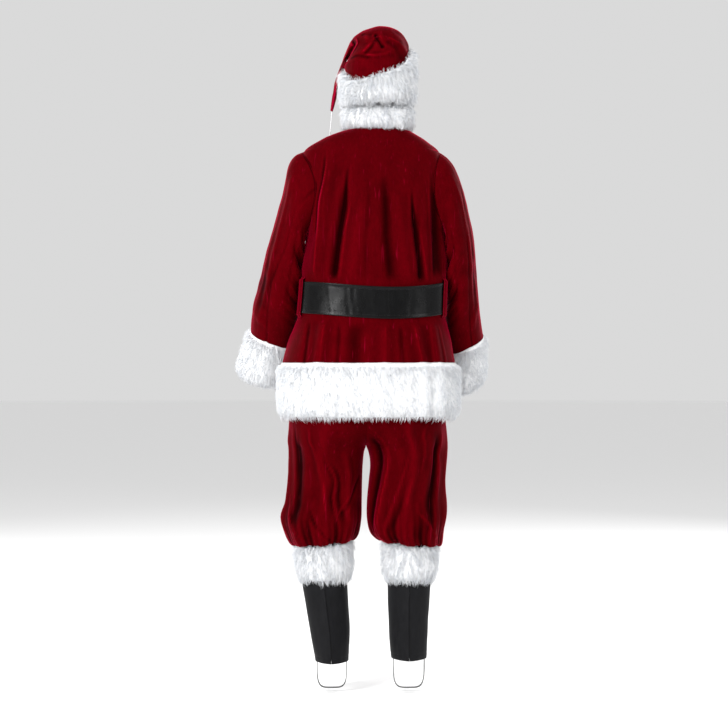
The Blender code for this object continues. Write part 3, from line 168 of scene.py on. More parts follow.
# Fur bands: the section's corners, as far out from the cloth's face and along the band
BAND_COLUMNS = ("out", "along")
HEM_SECTION = (
    (-0.0020, 0.0000), (0.0060, 0.0000), (0.0130, 0.0140), (0.0165, 0.0450),
    (0.0175, 0.0850), (0.0150, 0.1150), (0.0060, 0.1320), (-0.0030, 0.1280),
)
CUFF_SECTION = (
    (-0.0020, 0.0000), (0.0050, 0.0000), (0.0110, 0.0120), (0.0135, 0.0440),
    (0.0140, 0.0820), (0.0120, 0.1100), (0.0040, 0.1250), (-0.0050, 0.1180),
)
COLLAR_SECTION = (
    (-0.0020, 0.0000), (0.0080, -0.0010), (0.0190, 0.0060), (0.0240, 0.0220),
    (0.0210, 0.0400), (0.0110, 0.0500), (0.0010, 0.0480), (-0.0050, 0.0250),
)
BOOT_FUR_SECTION = (
    (0.0008, 0.0150), (0.0060, 0.0090), (0.0120, 0.0180), (0.0195, 0.0380),
    (0.0205, 0.0660), (0.0180, 0.0870), (0.0110, 0.0960), (0.0020, 0.0990), (0.0008, 0.0920),
)
COLLAR_LIFT = 6 * SEAM_GAP
CUFF_START = 4 * SEAM_GAP
HEM_DROP = 2 * SEAM_GAP
FUR_END_GAP = 0.0015

# Belt and its loops
BELT_WIDTH = 0.087
BELT_SIDE_HEIGHT = 1.099
BELT_BACK_DROP = 0.017
BELT_TILT = 0.010
BELT_LAY = 0.0022           # from the jacket to the belt
BELT_TIP_ANGLE = 0.16       # the tongue narrows over this angle
BELT_TIP_SHARE = 0.42       # the half width left at its very end
BUCKLE_BAR = 0.009
BUCKLE_BAR_DEPTH = 0.0035
BUCKLE_SQUARENESS = 9       # exponent of the frame's outline
BUCKLE_BOW = 0.35           # how far its upper and lower bars lie back, as a share of the room
BUCKLE_STEPS = 160
BAR_SIDES = 16
BAR_STEPS = 30
WAIST_LEAN = 0.0018        # how far the belt's face leans out over half its width
LOOP_ANGLE = math.radians(71)    # from the middle of the back
LOOP_WIDTH = 0.026
LOOP_HEIGHT = 0.112
LOOP_THICKNESS = 0.0018
SIDE_RADIUS = 0.135         # of the waist's curve at a side seam

# Breeches: one row for each level from the waistband down and, at last, up into the gathered end
SEAT_CENTRE_X = 0.034
LEG_COLUMNS = ("height", "inner_x", "outer_x", "half_depth", "centre_y", "gather")
LEG_LEFT_ROWS = (
    (1.058, -0.131, 0.199, 0.108, 0.000, 0.4),
    (0.980, -0.152, 0.226, 0.122, 0.002, 0.1),
    (0.900, -0.142, 0.240, 0.133, 0.004, 0.0),
    (0.820, -0.098, 0.245, 0.136, 0.004, 0.0),
    (0.750, -0.036, 0.245, 0.130, 0.002, 0.0),
    (0.705, 0.018, 0.244, 0.120, 0.000, 0.0),
    (0.680, 0.036, 0.242, 0.114, -0.002, 0.0),
    (0.640, 0.042, 0.242, 0.108, -0.004, 0.0),
    (0.590, 0.044, 0.244, 0.103, -0.006, 0.0),
    (0.535, 0.045, 0.252, 0.101, -0.006, 0.1),
    (0.485, 0.046, 0.263, 0.101, -0.004, 0.3),
    (0.440, 0.053, 0.252, 0.096, -0.002, 0.6),
    (0.420, 0.065, 0.239, 0.086, 0.000, 0.5),
    (0.423, 0.077, 0.228, 0.076, 0.000, 0.5),
    (0.440, 0.079, 0.227, 0.075, 0.000, 0.4),
)
LEG_RIGHT_ROWS = (
    (1.058, 0.199, -0.131, 0.108, 0.000, 0.4),
    (0.980, 0.220, -0.155, 0.122, 0.002, 0.1),
    (0.900, 0.208, -0.172, 0.133, 0.004, 0.0),
    (0.820, 0.163, -0.183, 0.136, 0.004, 0.0),
    (0.750, 0.099, -0.185, 0.130, 0.002, 0.0),
    (0.705, 0.049, -0.186, 0.120, 0.000, 0.0),
    (0.680, 0.030, -0.186, 0.114, 0.000, 0.0),
    (0.640, 0.022, -0.184, 0.108, 0.000, 0.0),
    (0.590, 0.026, -0.181, 0.103, 0.000, 0.0),
    (0.535, 0.031, -0.183, 0.101, 0.000, 0.1),
    (0.485, 0.031, -0.184, 0.101, 0.002, 0.3),
    (0.443, 0.022, -0.177, 0.096, 0.003, 0.6),
    (0.420, 0.001, -0.173, 0.086, 0.001, 0.5),
    (0.423, -0.012, -0.164, 0.076, 0.000, 0.5),
    (0.440, -0.015, -0.163, 0.075, 0.000, 0.4),
)
LEG_END_TILT = 0.007        # how far the gathered end rises towards the inseam
LEG_END_LEVELS = (9.5, 12)  # levels over which it starts to rise
LEG_RADIUS = 0.105          # mean radius, which turns a fold's turn into a width
GATHERS = 8
GATHER_DEPTH = 0.006
LEG_FOLD_ENDS = ((-0.05, 0.25), (0.85, 1.1))
LEG_FOLD_COLUMNS = ("top_turn", "low_turn", "top_level", "low_level", "half_width", "rise")
LEG_FOLD_ROWS = (
    (0.30, 0.24, 3.0, 9.6, 0.016, 0.009),
    (0.40, 0.36, 4.5, 10.5, 0.015, -0.007),
    (0.50, 0.47, 3.5, 10.5, 0.017, 0.008),
    (0.16, 0.13, 6.0, 10.5, 0.014, 0.007),
    (0.62, 0.60, 4.0, 10.2, 0.016, -0.007),
    (0.72, 0.76, 4.2, 10.3, 0.016, 0.008),
    (0.85, 0.88, 6.2, 10.3, 0.014, 0.006),
)
WAISTBAND_HEIGHT = 0.036
WAISTBAND_THICKNESS = 0.004

# Hat crown: a cone that folds over, given by its outer line and inner line in front view
CROWN_COLUMNS = ("outer_x", "outer_h", "inner_x", "inner_h", "half_depth", "centre_y")
CROWN_BACK_DROPS = (0.032, 0.028, 0.018, 0.008, 0.002, 0.0)    # by station, from the band seam
CROWN_ROWS = (
    (-0.084, 1.738, 0.0770, 1.700, 0.084, 0.000),   # band seam
    (-0.086, 1.770, 0.0780, 1.724, 0.085, 0.000),
    (-0.085, 1.797, 0.0770, 1.738, 0.083, 0.000),
    (-0.076, 1.820, 0.0755, 1.749, 0.078, 0.000),
    (-0.058, 1.840, 0.0740, 1.758, 0.072, -0.001),
    (-0.034, 1.851, 0.0735, 1.765, 0.065, -0.003),
    (-0.006, 1.854, 0.0745, 1.770, 0.058, -0.006),  # peak
    (0.024, 1.848, 0.0770, 1.772, 0.052, -0.010),
    (0.050, 1.838, 0.0815, 1.770, 0.046, -0.016),
    (0.073, 1.820, 0.0880, 1.762, 0.040, -0.024),   # fold
    (0.091, 1.784, 0.0930, 1.748, 0.034, -0.036),
    (0.106, 1.748, 0.0995, 1.729, 0.029, -0.048),
    (0.119, 1.712, 0.1075, 1.700, 0.024, -0.056),
    (0.128, 1.671, 0.1170, 1.662, 0.018, -0.060),
    (0.134, 1.628, 0.1262, 1.625, 0.007, -0.060),   # tail's tip
)
HAT_BAND_HALF_WIDTH = 0.0905
HAT_BAND_HALF_DEPTH = 0.0925
HAT_BAND_LOW = 1.634        # the band's lower edge at the middle
HAT_BAND_TOP = 1.752        # its upper edge at the middle
HAT_BAND_LOW_TILT = -0.05   # rise a metre towards +X
HAT_BAND_TOP_TILT = -0.32
HAT_BAND_BACK_DROP = 0.050  # how much lower its upper edge dips at the back
HAT_BAND_SECTION = (
    (-0.0020, 0.02), (0.0060, 0.00), (0.0180, 0.08), (0.0240, 0.30),
    (0.0245, 0.62), (0.0190, 0.88), (0.0080, 1.00), (-0.0020, 0.93),
)

# Cord from the tail's tip over the left shoulder to the pompom, x, y and height
CORD_DIAMETER = 0.003
CORD_ROUTE = (
    (0.1300, -0.0600, 1.6235), (0.1303, -0.0602, 1.6080), (0.1318, -0.0612, 1.5900),
    (0.1335, -0.0640, 1.5700), (0.1350, -0.0690, 1.5500), (0.1365, -0.0755, 1.5300),
    (0.1378, -0.0830, 1.5120), (0.1388, -0.0905, 1.4950), (0.1395, -0.0975, 1.4790),
    (0.1400, -0.1040, 1.4640),
)
POMPOM_RADIUS = 0.026
POMPOM_CENTRE = (0.1408, -0.1165, 1.4385)
POMPOM_STRANDS = 2400
POMPOM_SEED = 40
POMPOM_CORE_SHARE = 0.55
POMPOM_CORE_GRID = (18, 32)     # rings and sides
POMPOM_LAY_AXIS = (0.3, 0.2, 1.0)   # its strands lie round this direction

# Boot tops: the back seam is where each wall begins and ends
BOOT_COLUMNS = ("height", "centre_x", "half_width", "half_depth", "centre_y", "ridge")
BOOT_LEFT_ROWS = (
    (0.424, 0.1530, 0.0640, 0.0660, 0.000, 0.002),
    (0.330, 0.1500, 0.0645, 0.0655, 0.000, 0.004),
    (0.250, 0.1420, 0.0600, 0.0600, 0.000, 0.005),
    (0.170, 0.1330, 0.0550, 0.0560, -0.002, 0.005),
    (0.120, 0.1300, 0.0500, 0.0600, -0.010, 0.004),
    (0.089, 0.1285, 0.0470, 0.0700, -0.022, 0.003),
)
BOOT_RIGHT_ROWS = (
    (0.424, -0.0900, 0.0610, 0.0660, 0.000, 0.002),
    (0.330, -0.0870, 0.0610, 0.0655, 0.000, 0.004),
    (0.250, -0.0850, 0.0570, 0.0600, 0.000, 0.005),
    (0.170, -0.0850, 0.0540, 0.0560, -0.002, 0.005),
    (0.120, -0.0855, 0.0510, 0.0600, -0.010, 0.004),
    (0.097, -0.0860, 0.0490, 0.0690, -0.022, 0.003),
)
RIDGE_HALF_WIDTH = 0.010
SHAFT_RADIUS = 0.055
FRONT_DROP = 0.016          # how much lower the shaft reaches at the instep
FRONT_DROP_LEVELS = (3.5, 5.0)  # levels over which it drops
BOOT_FUR_CLEAR = 0.0016
BOOT_FUR_LEVEL = 1.2        # the shaft's level at the fur's lower edge
BOOT_FUR_TILT = 0.07        # the share by which it is taller towards the inseam
STRAP_WIDTH = 0.014
STRAP_THICKNESS = 0.0015
STRAP_LOW = 0.010           # height of the strap's underside
STRAP_CLEAR = 2.5 * LAY_GAP     # from the shaft's inner face
STRAP_TOP_LEVELS = 0.55     # how far its ends run up, in rows of the shaft's table
STRAP_DROP = 0.012          # straight run below the shaft's edge
STRAP_SIDE_ROUNDNESS = 0.45     # exponents of the arc across and down, 1 is an ellipse
STRAP_LOW_ROUNDNESS = 0.55
STRAP_RIB = 0.0002

# Finer forms that the solids leave out, read with the same columns
CREASE_ROWS = (
    (1, 0.082, 0.120, 1.46, 1.14, 0.0060, -0.0034),
    (1, 0.076, 0.108, 1.38, 1.13, 0.0040, 0.0016),
    (1, 0.138, 0.174, 1.50, 1.13, 0.0030, 0.0022),
    (1, 0.146, 0.168, 1.49, 1.26, 0.0045, -0.0030),
    (1, 0.028, 0.036, 1.43, 1.14, 0.0080, -0.0010),
    (1, -0.011, -0.030, 1.44, 1.14, 0.0080, -0.0011),
    (1, -0.092, -0.116, 1.39, 1.13, 0.0055, -0.0034),
    (1, -0.112, -0.136, 1.30, 1.13, 0.0040, 0.0018),
    (1, -0.158, -0.176, 1.42, 1.14, 0.0090, -0.0036),
    (1, -0.136, -0.150, 1.44, 1.15, 0.0040, 0.0018),
    (1, 0.143, 0.162, 1.04, 0.89, 0.0032, 0.0018),
    (1, -0.022, -0.014, 1.04, 0.89, 0.0032, 0.0014),
    (1, -0.092, -0.119, 1.04, 0.89, 0.0032, 0.0018),
    (1, -0.135, -0.151, 1.04, 0.89, 0.0032, 0.0016),
    (1, -0.156, -0.190, 1.04, 0.89, 0.0036, 0.0018),
    (1, 0.190, 0.208, 1.04, 0.89, 0.0060, -0.0030),
    (1, 0.104, 0.112, 1.04, 0.90, 0.0070, -0.0022),
    (1, -0.060, -0.066, 1.04, 0.90, 0.0070, -0.0020),
    (-1, 0.050, 0.070, 1.38, 1.14, 0.0060, 0.0020),
    (-1, 0.104, 0.132, 1.34, 1.14, 0.0050, -0.0030),
    (-1, -0.046, -0.064, 1.40, 1.14, 0.0060, 0.0020),
    (-1, -0.100, -0.124, 1.36, 1.13, 0.0050, -0.0030),
    (-1, 0.080, 0.098, 1.05, 0.91, 0.0060, -0.0028),
    (-1, -0.060, -0.066, 1.05, 0.91, 0.0060, 0.0020),
)
SLEEVE_CREASE_ROWS = (
    (1.5, 0.42, 0.22, 0.06, 0.0040),
    (2.0, 0.43, 0.20, 0.05, -0.0040),
    (2.6, 0.42, 0.24, 0.07, 0.0034),
    (3.6, 0.40, 0.22, 0.08, -0.0030),
    (4.4, 0.42, 0.24, 0.08, 0.0034),
    (5.1, 0.40, 0.22, 0.09, -0.0036),
    (5.7, 0.38, 0.22, 0.10, 0.0036),
    (6.4, 0.40, 0.22, 0.10, -0.0034),
    (7.1, 0.38, 0.24, 0.10, 0.0034),
    (8.0, 0.36, 0.24, 0.09, -0.0028),
    (8.6, 0.14, 0.24, 0.07, 0.0026),
    (6.0, 0.10, 0.30, 0.06, 0.0024),
    (4.4, 0.70, 0.24, 0.09, 0.0030),
    (5.6, 0.72, 0.22, 0.10, -0.0034),
    (6.3, 0.74, 0.22, 0.10, 0.0034),
    (7.2, 0.80, 0.24, 0.08, -0.0030),
    (3.2, 0.84, 0.30, 0.07, -0.0026),
    (4.6, 0.145, 4.2, 0.014, 0.0024),
    (5.4, 0.085, 3.6, 0.013, 0.0020),
    (3.6, 0.320, 2.4, 0.018, -0.0026),
)
# The seam that runs down the back of each sleeve, as stations and turns
SLEEVE_SEAMS = {
    1: ((0.9, 2.5, 4.5, 6.3, 9.2), (0.262, 0.250, 0.234, 0.180, 0.215)),
    -1: ((1.0, 2.4, 5.0, 7.0, 9.2), (0.060, 0.090, 0.167, 0.190, 0.200)),
}
SLEEVE_SEAM_HALF = 0.0042
SLEEVE_SEAM_DEPTH = 0.0013
SLEEVE_FULLNESS = 0.0065    # how far its inner side stands out towards the body
SLEEVE_FULL_TURNS = (0.47, 0.13)    # middle and half width of that fullness
SIDE_FULLNESS = 0.0040      # how far the jacket's sides stand out towards the sleeves
SIDE_FULL_HALF = 0.25       # half width of that fullness, as an angle
SIDE_FULL_TOP = 1.29        # its upper end
SLEEVE_CROWDING = 1.15      # stations lie closer towards the armhole, 1 is even
SLEEVE_FOLD_ENDS = ((0.5, 2.0), (8.6, 9.8))     # stations over which the folds begin and end
LEG_CREASE_SHARE = 0.72     # of the rises below, kept to a tenth of a millimetre
LEG_CREASES = {
    1: (
        (0.345, 0.232, 4.0, 9.6, 0.0045, 0.0044),
        (0.312, 0.204, 4.0, 9.4, 0.0090, -0.0050),
        (0.255, 0.170, 6.4, 10.4, 0.0040, 0.0036),
        (0.225, 0.140, 7.0, 10.4, 0.0070, -0.0040),
        (0.455, 0.345, 8.4, 11.2, 0.0040, 0.0040),
        (0.060, 0.160, 7.6, 9.6, 0.0060, -0.0050),
        (0.090, 0.185, 7.4, 9.8, 0.0040, 0.0026),
        (0.300, 0.215, 9.4, 11.4, 0.0060, -0.0040),
        (0.420, 0.400, 3.8, 8.0, 0.0060, -0.0030),
        (0.660, 0.690, 5.0, 10.6, 0.0060, 0.0030),
        (0.800, 0.830, 4.4, 10.4, 0.0070, -0.0040),
    ),
    -1: (
        (0.120, 0.090, 4.2, 10.4, 0.0140, -0.0080),
        (0.168, 0.138, 4.2, 10.8, 0.0040, 0.0036),
        (0.250, 0.150, 6.0, 11.0, 0.0040, 0.0038),
        (0.275, 0.180, 6.6, 10.6, 0.0080, -0.0040),
        (0.365, 0.300, 3.9, 7.4, 0.0045, 0.0034),
        (0.420, 0.412, 4.0, 9.2, 0.0045, 0.0036),
        (0.395, 0.380, 4.2, 8.4, 0.0070, -0.0036),
        (0.300, 0.410, 9.4, 11.3, 0.0045, 0.0040),
        (0.660, 0.630, 5.0, 10.6, 0.0070, -0.0036),
        (0.820, 0.800, 4.4, 10.4, 0.0060, 0.0030),
    ),
}
CROWN_CREASE_ROWS = (
    (4.4, 0.70, 1.2, 0.08, -0.004),
    (6.6, 0.78, 1.0, 0.08, 0.004),
    (2.8, 0.86, 1.0, 0.07, -0.003),
    (9.4, 0.80, 0.8, 0.09, 0.003),
    (2.6, 0.50, 2.8, 0.16, 0.015),
    (4.8, 0.50, 2.4, 0.14, 0.010),
    (10.2, 0.50, 1.8, 0.16, 0.007),
)
# Folds over the back of the crown: half width, rise, and the places they run through, as dots to
# the right and down in an enlarged part of the camera's view
CROWN_LINES = (
    (0.0022, 0.0032, ((300, 145), (322, 195), (285, 285), (222, 345), (205, 405))),
    (0.0055, -0.0070, ((288, 160), (296, 215), (250, 300), (200, 360), (178, 420))),
    (0.0050, -0.0085, ((478, 135), (505, 180), (535, 228))),
    (0.0090, 0.0030, ((395, 150), (430, 200), (390, 255))),
    (0.0060, -0.0030, ((470, 180), (440, 230), (400, 275))),
    (0.0045, 0.0018, ((415, 296), (480, 300), (555, 288), (592, 270))),
    (0.0030, 0.0014, ((596, 150), (690, 205), (735, 270), (752, 320))),
    (0.0090, -0.0022, ((590, 190), (660, 240), (690, 320))),
    (0.0070, -0.0022, ((285, 315), (340, 300), (410, 318))),
    (0.0060, -0.0020, ((372, 128), (430, 122), (500, 120))),
    (0.0080, -0.0030, ((640, 90), (730, 165), (760, 250))),
)
CROWN_VIEW_CORNER = (320, 20)   # the enlarged part's own corner, in dots of the whole view
CROWN_VIEW_ZOOM = 8.57
CROWN_VIEW_STEPS = (600, 300)   # stations and turns among which the nearest is taken
VIEW_DOT = 0.00278              # metres a dot, at the middle of the body
VIEW_MIDDLE = 378               # column of the frame's origin
VIEW_FLOOR = 693                # row of the floor
ARMHOLE_MIDDLE = 7.9        # level of the armhole's middle
ARMHOLE_HALF = 2.1          # levels from there to the armpit and to the shoulder point

# Fineness and relief of the velvet
ARMHOLE_ROWS = 48
ROWS_BELOW = 62
ROWS_ABOVE = 16
BACK_COLUMNS = 150
FRONT_COLUMNS = 60
SLEEVE_COLUMNS_HALF = 48
SLEEVE_ROWS = 90
LEG_ROWS = 72
LEG_SIDES = 144
CROWN_SIDES = 96
CROWN_STEPS = 112
CROWN_RISE_LIMIT = 0.3      # of a fold, as a share of the crown's radius there
PAINTED_SHADE_REACHES = ((1, 330.0), (3, 190.0))    # in grid cells, and the curvature that counts in full, for the painted shade and highlight
PAINTED_SHADE_DEPTH = 110.0           # painted shade: how much darker cloth is painted by the metre below its even form
CLOTH_WAVE = 0.0012         # height of the cloth's slow, uneven waves
# Unevenness: the width of its waves, the seed of its random values, and its height
NOISES = {
    "jacket_fold_sway": (0.09, 3, 0.004),
    "jacket": (0.035, 11, CLOTH_WAVE),
    "sleeve_fold_sway": (0.05, 5, 0.25),
    "sleeve": (0.03, 12, CLOTH_WAVE),
    "leg_fold_sway": (0.06, 8, 0.02),
    "leg_left": (0.035, 15, CLOTH_WAVE),
    "leg_right": (0.035, 13, CLOTH_WAVE),
    "crown_fold_sway": (0.04, 9, 0.3),
    "crown": (0.02, 21, CLOTH_WAVE),
    "belt": (0.018, 31, 0.0003),
    "shaft": (0.05, 51, 0.0012),
}
SEAM_DIP = 0.0006
SEAM_HALF_WIDTH = 0.0030
ARMHOLE_LIFT = 0.0045       # how far the armhole's seam stands out from the jacket's form
ARMHOLE_LIFT_REACH = 0.035
ARMHOLE_LIFT_START = 1.2    # levels over which it grows above the armpit
ARMHOLE_LIFT_END = 0.8      # and goes back above the shoulder point
PUCKERS_A_LEVEL = 22.0
ARMHOLE_PUCKERS = 26
# Painted shade values (the nap attribute) and the factors of the velvet's colour there, dark as
# painted shade in valleys and light as painted highlight on ridges; the last is the ridges'
# painted highlight colour
PAINTED_SHADE_TONES = ((0.05, 0.12), (0.36, 0.62), (0.55, 1.0), (0.74, 1.25), (0.86, 1.9), 0.97)
SLEEVE_PAINTED_SHADE_GAIN = 1.6       # how much darker than the jacket's the painted shade in a sleeve's valleys is
LEG_PAINTED_SHADE_GAIN = 1.8          # and the painted shade in a leg's valleys
LEG_EDGE_SHARE = 0.06       # share of a leg's width over which folds fade towards its seam
SEAT_SEAM_HALF = 0.00003    # from the seat's plane to each leg's edge
FINE_GATHERS = 34
FINE_GATHER_DEPTH = 0.0014
WAISTBAND_COLUMNS = 320
WAISTBAND_ROWS = 7
WAISTBAND_RIBS = 80
WAISTBAND_RIB = 0.0007
WAISTBAND_START = 0.0010    # above the legs' upper edge
WAISTBAND_HALF = 0.3 * WAISTBAND_THICKNESS      # from its middle to either face between ribs

# Fur
FUR_FULLNESS = 0.55         # the backing's share of the solid's thickness
BACKING_SIDES = 20
ROOT_DEPTH = 0.0015
FUR_ENDS = (0.7, 1.2)       # corners of a section left without pile at its start and end
# Rings of the backing, strands, and the seed of their random values
FUR_COUNTS = {
    "hem": (260, 15600, 1),
    "collar": (130, 6500, 2),
    "hat": (140, 9500, 3),
    "cuff_left": (100, 5900, 4),
    "cuff_right": (100, 5900, 5),
    "boot_left": (90, 5200, 6),
    "boot_right": (90, 5200, 7),
}
PILE_SEED_STEP = 1000       # between the seeds for a strand's place and for its shape
STRAND_POINTS = 7
LOCK_LENGTHS = 3.2          # a lock's height in widths

# Belt
BELT_START = -math.pi - 0.03
BELT_END = math.pi + math.radians(46)
BELT_COLUMNS = 300
BELT_ROWS = 28
BELT_STITCH_SHARE = 0.80
STITCH_LENGTH = 0.0030
STITCH_WIDTH = 0.0009
OVER_BAR_ANGLES = (math.pi - 0.42, math.pi - 0.09)      # the belt rises over the buckle's bar
OVER_END_ANGLES = (math.pi + 0.16, math.pi + 0.40)      # and comes down on its own end
BELT_ROLL = 0.0011          # height of its rolled edges
BELT_ROLL_DROP = 0.0012
BELT_ROLL_SHARES = (0.86, 0.93)     # shares of its half width over which they rise
BELT_DROP_SHARES = (0.975, 1.0)     # and fall
BELT_GROOVE = 0.0005
BELT_GROOVE_HALF = 0.02
WAIST_TOP_LEVEL = 6.0       # the belt lies below this level of the body
LEVEL_HALVINGS = 24
LOOP_COLUMNS = 13
LOOP_ROWS = 49
LOOP_LIFT = 0.0012          # how much further a loop stands off the belt
LOOP_ENDS = (0.84, 0.97)    # shares of its half height over which it comes back to the jacket
LOOP_CROWN = 0.0006
BELT_CREASE_COLUMNS = ("x", "half_width", "slant", "rise")
BELT_CREASE_ROWS = (
    (-0.033, 0.0050, 0.003, -0.0016),
    (-0.022, 0.0040, -0.002, 0.0008),
    (0.064, 0.0030, 0.004, -0.0007),
    (0.072, 0.0030, -0.005, -0.0006),
    (0.083, 0.0035, 0.003, -0.0008),
    (0.130, 0.0060, 0.006, 0.0008),
    (-0.090, 0.0060, -0.004, -0.0007),
    (-0.128, 0.0050, 0.004, 0.0008),
    (0.010, 0.0080, 0.005, 0.0006),
)

# Boot tops
SHAFT_ROWS = 56
SHAFT_COLUMNS = 84
SHAFT_CREASE_COLUMNS = ("turn", "level", "half_turn", "half_level", "slant", "rise")
SHAFT_CREASE_ROWS = (
    (0.10, 3.2, 0.10, 0.20, 2.0, -0.0012),
    (0.88, 2.6, 0.09, 0.22, -2.5, 0.0012),
    (0.60, 3.6, 0.12, 0.16, 1.5, -0.0015),
    (0.40, 3.9, 0.12, 0.14, -1.5, 0.0014),
)
TURNED_EDGE = 0.016         # from the lower edge up to the stitches of its hem
TURNED_HALF = 0.0016
TURNED_DEPTH = 0.0010
PRESSED_EDGE = 0.0080       # how far the pressed back seam stands out
PRESSED_WIDTH = 0.040
PRESSED_LEVELS = (1.2, 2.4)     # levels over which it begins
STRAP_ARC_STEPS = 48
STRAP_COLUMNS = 12
CORD_RINGS = 160
CORD_SIDES = 12
CORD_GROOVE = 0.16          # depth of the twist's grooves, as a share of the radius
CORD_TWIST = 900.0          # turns of the cord's twist, in radians a metre

# Stage
FLOOR_RADIUS = 40.0
WORLD_STRENGTH = 0.70
AIM_HEIGHT = -0.6
SENSOR_WIDTH = 36.0
LENS = 88.94
VIEW_END = 100.0
FLOOR_SIDES = 64
CAMERA_PLACE = (0.0389, 5.0, -0.6304)
LIGHT_COLUMNS = ("name", "azimuth", "distance", "rise", "width", "height", "power")
LIGHT_ROWS = (
    ("key", 144.0, 4.0, 1.0, 1.1, 2.6, 190.0),
    ("fill", 232.0, 4.0, 1.2, 1.2, 2.6, 55.0),
    ("front_key", -40.0, 4.5, 1.4, 1.6, 2.6, 110.0),
    ("front_fill", 50.0, 4.5, 1.0, 1.6, 2.6, 70.0),
)


class Table:
    """Rows of sizes with named columns, read smoothly between the rows."""

    def __init__(self, columns, rows):
        self.values = {name: np.array([row[i] for row in rows], float)
                       for i, name in enumerate(columns)}
        self.last = len(rows) - 1

    def at(self, name, place):
        """The column's value at a place counted in rows, on a cubic through the rows."""
        values = self.values[name]
        slopes = np.gradient(values)
        place = np.clip(np.asarray(place, float), 0, self.last)
        row = np.minimum(place.astype(int), self.last - 1)
        t = place - row
        rise = values[row + 1] - values[row]
        start, end = slopes[row], slopes[row + 1]
        return values[row] + t * (start + t * (3 * rise - 2 * start - end
                                               + t * (start + end - 2 * rise)))


def named(columns, rows):
    """Rows of a table as dictionaries."""
    return [dict(zip(columns, row)) for row in rows]


def circle(count):
    """Turns spread evenly once round."""
    return np.linspace(0, TURN, count, endpoint=False)


def hump(distance, half_width):
    """A smooth hump of height 1 that fades out at about twice its half width."""
    return np.exp(-(distance / half_width) ** 2)


def step(value, low, high):
    """0 below low, 1 above high, smooth between."""
    t = np.clip((value - low) / (high - low), 0, 1)
    return t * t * (3 - 2 * t)


def within(value, start, end):
    """1 between two ramps, each given by its low and high end, and 0 outside them."""
    return step(value, *start) * (1 - step(value, *end))


def unit(vectors):
    return vectors / np.linalg.norm(vectors, axis=-1, keepdims=True)


def noise(points, scale, seed):
    """Smooth values in -1..1: the cubic blend of random values on a lattice of cubes."""
    table = np.random.default_rng(seed).uniform(-1, 1, 4096)
    place = points / scale
    cell = np.floor(place).astype(np.int64)
    t = place - cell
    t = t * t * (3 - 2 * t)
    value = np.zeros(points.shape[:-1])
    for corner in np.ndindex(2, 2, 2):
        spot = cell + np.array(corner)
        key = (spot[..., 0] * 73 + spot[..., 1] * 179 + spot[..., 2] * 283) % 4096
        weight = np.prod(np.where(np.array(corner) == 1, t, 1 - t), axis=-1)
        value += weight * table[key]
    return value


def uneven(name, points):
    """A named unevenness at each point."""
    scale, seed, height = NOISES[name]
    return noise(points, scale, seed) * height


def both_sides(left, right):
    """The name and sign of each side, with what belongs to it."""
    return [(name, side, own) for (name, side), own in zip(SIDES, (left, right))]


def at_places(x, y, h):
    """Points from their coordinates, each a number or an array."""
    return np.stack(np.broadcast_arrays(x, y, h), -1)


def size_of(vectors):
    return np.linalg.norm(vectors, axis=-1)


def run_along(line):
    """The distance from a line's start to each of its points."""
    return np.concatenate([[0], np.cumsum(size_of(np.diff(line, axis=0)))])


# Mesh helpers

def lowered(points):
    """Points given by height above the floor, moved into the frame."""
    return points - np.array([0.0, 0.0, NECK_HEIGHT])


def add_mesh(name, points, faces, material, uv=None, smooth=True):
    """A mesh object at the origin, from arrays of points and faces; uv has one row a corner."""
    mesh = bpy.data.meshes.new(name)
    faces = [np.asarray(group) for group in (faces if isinstance(faces, list) else [faces])]
    corners = np.concatenate([group.ravel() for group in faces])
    sizes = np.concatenate([np.full(len(group), group.shape[1]) for group in faces])
    mesh.vertices.add(len(points))
    mesh.vertices.foreach_set("co", lowered(points).astype(np.float32).ravel())
    mesh.loops.add(len(corners))
    mesh.loops.foreach_set("vertex_index", corners.astype(np.int32))
    mesh.polygons.add(len(sizes))
    mesh.polygons.foreach_set("loop_start", (np.cumsum(sizes) - sizes).astype(np.int32))
    if uv is not None:
        layer = mesh.uv_layers.new(name="surface")
        layer.data.foreach_set("uv", uv[corners].astype(np.float32).ravel())
    mesh.update(calc_edges=True)
    mesh.validate()
    if smooth:
        mesh.shade_smooth()
    mesh.materials.append(material)
    obj = bpy.data.objects.new(name, mesh)
    bpy.context.scene.collection.objects.link(obj)
    return obj


def dress(obj, slot, *nodes):
    """Lets a piece ride with the suit and hides the solids that it stands for; the slot, its
    finish's name, is not used.
    """
    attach(obj, "root")
    if nodes:
        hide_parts(*nodes)
    return obj


def grid_quads(index, ring=False, flip=False):
    """Quads of an index grid of rows by columns; a ring also closes its columns."""
    if ring:
        index = np.concatenate([index, index[:, :1]], axis=1)
    quads = np.stack([index[:-1, :-1], index[:-1, 1:], index[1:, 1:], index[1:, :-1]], -1)
    quads = quads.reshape(-1, 4)
    return quads[:, ::-1] if flip else quads


def edge_quads(outer, inner, closed):
    """The narrow faces between two rows of indices."""
    if closed:
        outer, inner = np.append(outer, outer[0]), np.append(inner, inner[0])
    return np.stack([outer[:-1], outer[1:], inner[1:], inner[:-1]], 1)


def grid_normals(grid, ring):
    """Unit normals of a grid, from the differences along its rows and round its columns."""
    along = np.gradient(grid, axis=0)
    if ring:
        around = np.roll(grid, -1, axis=1) - np.roll(grid, 1, axis=1)
    else:
        around = np.gradient(grid, axis=1)
    return unit(np.cross(along, around))


def outward(normals, grid):
    """Normals turned to point away from the middle of each of the grid's rings."""
    away = grid - grid.mean(1, keepdims=True)
    return normals * np.sign((normals * away).sum(-1).mean())


